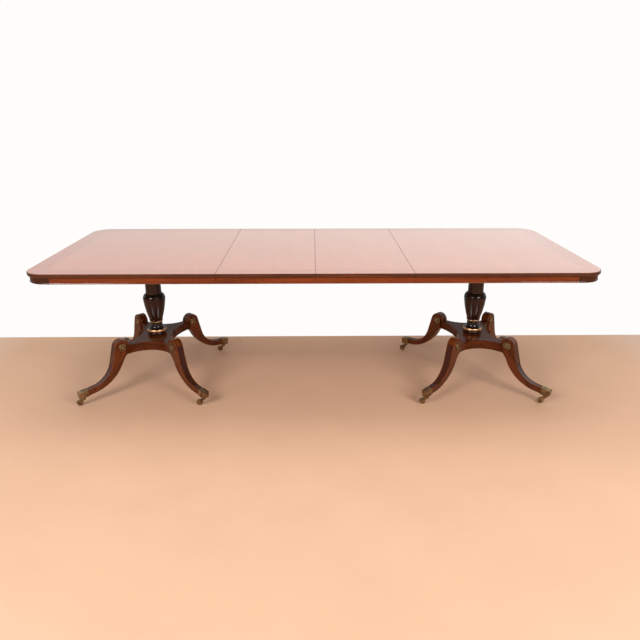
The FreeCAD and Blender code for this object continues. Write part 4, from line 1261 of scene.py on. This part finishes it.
# Stage
class TABLE_OT_stage(TablePiece, bpy.types.Operator):
    """Lay the floor, hang the lights and set the camera at the photograph's view"""
    bl_idname = "table.stage"
    bl_label = "Stage"

    CAMERA_AT = (-0.00974, -3.21317, 1.47326)
    CAMERA_TILT = (70.48762, 0.0, -0.66096)
    CAMERA_LENS = 34.1055
    WHITE = (1.0, 0.985, 0.97)
    LAMPLIGHT = (1.0, 0.97, 0.94)
    AMBIENT = 0.37
    FLOOR_REACH = 30.0
    FLOOR_FADE = (1.9, 4.4)
    WALL_AT = 0.62
    WALL_HIGH = 20.0
    WINDOWS = ((-0.505, -0.722, 0.473), (0.562, -0.688, 0.459))
    WINDOW_LIGHT = 3.0
    # Directions and strength of the glowing streaks painted on the floor, seen only in the polish
    GLEAM_AT = (23.0, -51.0)
    GLEAM_LIGHT = 5.0
    MIDDLE = Vector((0.0, 0.0, 0.4))

    # Place, size and power of each lamp
    LAMPS = {
        "key_softbox": ((-2.4, -3.4, 2.4), (1.8, 2.0), 106.0),
        "fill_softbox": ((2.6, -3.2, 2.2), (1.8, 2.0), 98.0),
        "top_softbox": ((0.0, 0.3, 4.2), (4.0, 2.5), 60.0),
    }
    # Power of the pair of lamps that each finish mirrors, and their place on the right
    GLINTS = {"ebonised_band": 48.0, "aged_brass": 14.0, "bead_moulding": 40.0}
    GLINT_AT = (2.06, -2.76, 1.77)
    GLINT_SIZE = (0.8, 0.8)

    def execute(self, context):
        scene = context.scene
        scene.view_settings.view_transform = "Standard"
        self.floor()
        self.backdrop()
        self.world(scene)
        for name, (spot, size, power) in self.LAMPS.items():
            self.softbox(name, spot, size, power)
        for name, power in self.GLINTS.items():
            self.glints(scene, name, power)
        camera = bpy.data.cameras.new("photo_view")
        camera.lens = self.CAMERA_LENS
        camera.sensor_width = 36.0
        item = shown("photo_view", camera)
        item.location = self.CAMERA_AT
        item.rotation_euler = [math.radians(angle) for angle in self.CAMERA_TILT]
        scene.camera = item
        return {"FINISHED"}

    def laid(self, shape, name, finish, look):
        """Floor or wall with the look of its finish."""
        finish.feed(finish.nodes["Material Output"].inputs["Surface"], look)
        mesh = mesh_of(shape, name)
        mesh.materials.append(finish.material)
        shown(name, mesh)

    def floor(self):
        """Pale floor that turns white far off, carries glowing streaks painted for the polish to
        mirror, and is clear from below.
        """
        shape = bmesh.new()
        bmesh.ops.create_grid(shape, x_segments=1, y_segments=1, size=self.FLOOR_REACH)
        finish = Finish("pale_floor")
        x, y, _ = finish.parts(finish.place())
        cloud = finish.noise(finish.place(), (3, 3, 3), 4.0)
        pale = self.colours.floor
        stops = ((0.3, toned(pale, 0.95)), (0.7, pale))
        finish.surface(Base_Color=finish.ramp(cloud, stops), Roughness=0.6)
        rays = finish.rays()
        distant = finish.times(rays["Is Camera Ray"],
                               finish.span(finish.far(x, y), *self.FLOOR_FADE))
        look = finish.either(distant, finish.shader.outputs[0], finish.glow(self.WHITE, 1.0))
        # Glowing streaks that only glossy rays see paint the lamps' reflections on the urns.
        gleam = finish.times(self.painted_lamp_streaks(finish, x, y), rays["Is Glossy Ray"])
        look = finish.either(gleam, look, finish.glow(self.WHITE, self.GLEAM_LIGHT))
        below = finish.add("ShaderNodeNewGeometry").outputs["Backfacing"]
        self.laid(shape, "studio_floor", finish, finish.either(below, look, finish.clear()))

    def painted_lamp_streaks(self, finish, x, y):
        """Two glowing streaks painted on the floor before each column, which only the polish
        mirrors, as painted reflections of the lamps on the urns.
        """
        out = finish.minus(finish.size(x), axis_of("right"))
        way = finish.unit(finish.vector(out, y, 0.0))
        streaks = 0.0
        for angle in map(math.radians, self.GLEAM_AT):
            near = finish.dot(way, (math.sin(angle), -math.cos(angle), 0.0))
            streaks = finish.larger(finish.span(near, 0.985, 0.998), streaks)
        back_x, back_y, back_z = finish.incoming()
        back = finish.unit(finish.vector(finish.times(finish.math("SIGN", x), back_x), back_y, 0.0))
        for limit in (finish.span(finish.far(out, y), 0.5, 0.8, 1.0, 0.0),
                      finish.span(finish.dot(back, way), -0.985, -0.94, 1.0, 0.0),
                      finish.span(back_z, 0.52, 0.64)):
            streaks = finish.times(streaks, limit)
        return streaks

    def backdrop(self):
        """White wall for a camera that faces it, with a shaded foot for the polish to mirror."""
        shape = bmesh.new()
        reach, high = self.FLOOR_REACH, self.WALL_HIGH
        corners = ((-reach, 0.0), (reach, 0.0), (reach, high), (-reach, high))
        shape.faces.new([shape.verts.new((x, self.WALL_AT, z)) for x, z in corners])
        finish = Finish("white_backdrop")
        rays = finish.rays()
        mirrored = rays["Is Glossy Ray"]
        up = finish.parts(finish.place())[2]
        foot = finish.times(mirrored, finish.span(up, 0.50, 0.78, 1.0, 0.0))
        facing = finish.span(finish.incoming()[1], -0.80, -0.55, 1.0, 0.0)
        seen = finish.larger(finish.times(rays["Is Camera Ray"], facing), foot)
        white = finish.glow(self.WHITE, finish.span(mirrored, 0.0, 1.0, 1.0, 0.40))
        self.laid(shape, "studio_backdrop", finish, finish.either(seen, finish.clear(), white))

    def world(self, scene):
        """White behind the table, dim in front but for two soft windows, and an even light."""
        world = bpy.data.worlds.new("pale_studio")
        world.use_nodes = True
        scene.world = world
        work = NodeWork(world.node_tree)
        view = work.add("ShaderNodeTexCoord").outputs["Generated"]
        x, y, _ = work.parts(view)
        mirrored = work.times(work.span(y, -0.15, 0.35, 0.08, 1.0),
                              work.span(x, -0.5, 0.5, 0.77, 1.15))
        for spot in self.WINDOWS:
            window = work.span(work.dot(view, spot), 0.965, 0.985, 0.0, self.WINDOW_LIGHT)
            mirrored = work.plus(mirrored, window)
        rays = work.rays()
        shiny = work.larger(rays["Is Glossy Ray"], rays["Is Transmission Ray"])
        strength = work.mix("FLOAT", shiny, self.AMBIENT, mirrored)
        strength = work.mix("FLOAT", rays["Is Camera Ray"], strength, 1.0)
        backdrop = work.nodes["Background"]
        work.feed(backdrop.inputs["Color"], self.WHITE)
        work.feed(backdrop.inputs["Strength"], strength)

    def glints(self, scene, name, power):
        """Two lamps that only the pieces in one finish mirror."""
        pieces = bpy.data.collections.new(name + "_pieces")
        for item in scene.objects:
            if item.type == "MESH" and name in item.data.materials:
                pieces.objects.link(item)
        if not pieces.objects:
            raise RuntimeError("no piece has the finish " + name)
        out, front, high = self.GLINT_AT
        for side, sign in SIDES.items():
            spot = (sign * out, front, high)
            lamp = self.softbox("%s_%s_glint" % (side, name), spot, self.GLINT_SIZE, power)
            lamp.visible_glossy = True
            lamp.visible_diffuse = False
            lamp.light_linking.receiver_collection = pieces

    def softbox(self, name, spot, size, power):
        """Lamp that lights the table and isn't seen or mirrored."""
        light = bpy.data.lights.new(name, "AREA")
        light.shape = "RECTANGLE"
        light.size, light.size_y = size
        light.energy = power
        light.color = self.LAMPLIGHT
        item = shown(name, light)
        item.location = spot
        item.rotation_euler = (self.MIDDLE - Vector(spot)).to_track_quat("-Z", "Y").to_euler()
        item.visible_camera = False
        item.visible_glossy = False
        return item


OPERATORS = (TABLE_OT_boards, TABLE_OT_apron, TABLE_OT_columns, TABLE_OT_platforms, TABLE_OT_legs,
             TABLE_OT_rosettes, TABLE_OT_toe_caps, TABLE_OT_casters, TABLE_OT_underside,
             TABLE_OT_screws, TABLE_OT_stage)
SETTINGS = {"table_column": TableColumnSizes, "table_leg": TableLegSizes,
            "table_trim": TableTrimSizes, "table_colours": TableColours}


class TABLE_PT_panel(bpy.types.Panel):
    """Lists the steps that finish the table"""
    bl_idname = "TABLE_PT_panel"
    bl_label = "Double pedestal table"
    bl_space_type = "VIEW_3D"
    bl_region_type = "UI"
    bl_category = "Table"

    def draw(self, context):
        for operator in OPERATORS:
            self.layout.operator(operator.bl_idname)
        for name, group in SETTINGS.items():
            box = self.layout.box()
            box.label(text=group.__doc__)
            for setting in group.__annotations__:
                box.prop(getattr(context.scene, name), setting)


def register():
    for group in SETTINGS.values():
        bpy.utils.register_class(group)
    for name, group in SETTINGS.items():
        setattr(bpy.types.Scene, name, PointerProperty(type=group))
    for operator in OPERATORS:
        bpy.utils.register_class(operator)
    bpy.utils.register_class(TABLE_PT_panel)


def unregister():
    bpy.utils.unregister_class(TABLE_PT_panel)
    for operator in reversed(OPERATORS):
        bpy.utils.unregister_class(operator)
    for name in SETTINGS:
        delattr(bpy.types.Scene, name)
    for group in SETTINGS.values():
        bpy.utils.unregister_class(group)


def main():
    register()
    for operator in OPERATORS:
        family, name = operator.bl_idname.split(".")
        getattr(getattr(bpy.ops, family), name)()
    bpy.context.view_layer.update()


if __name__ == "__main__":
    main()
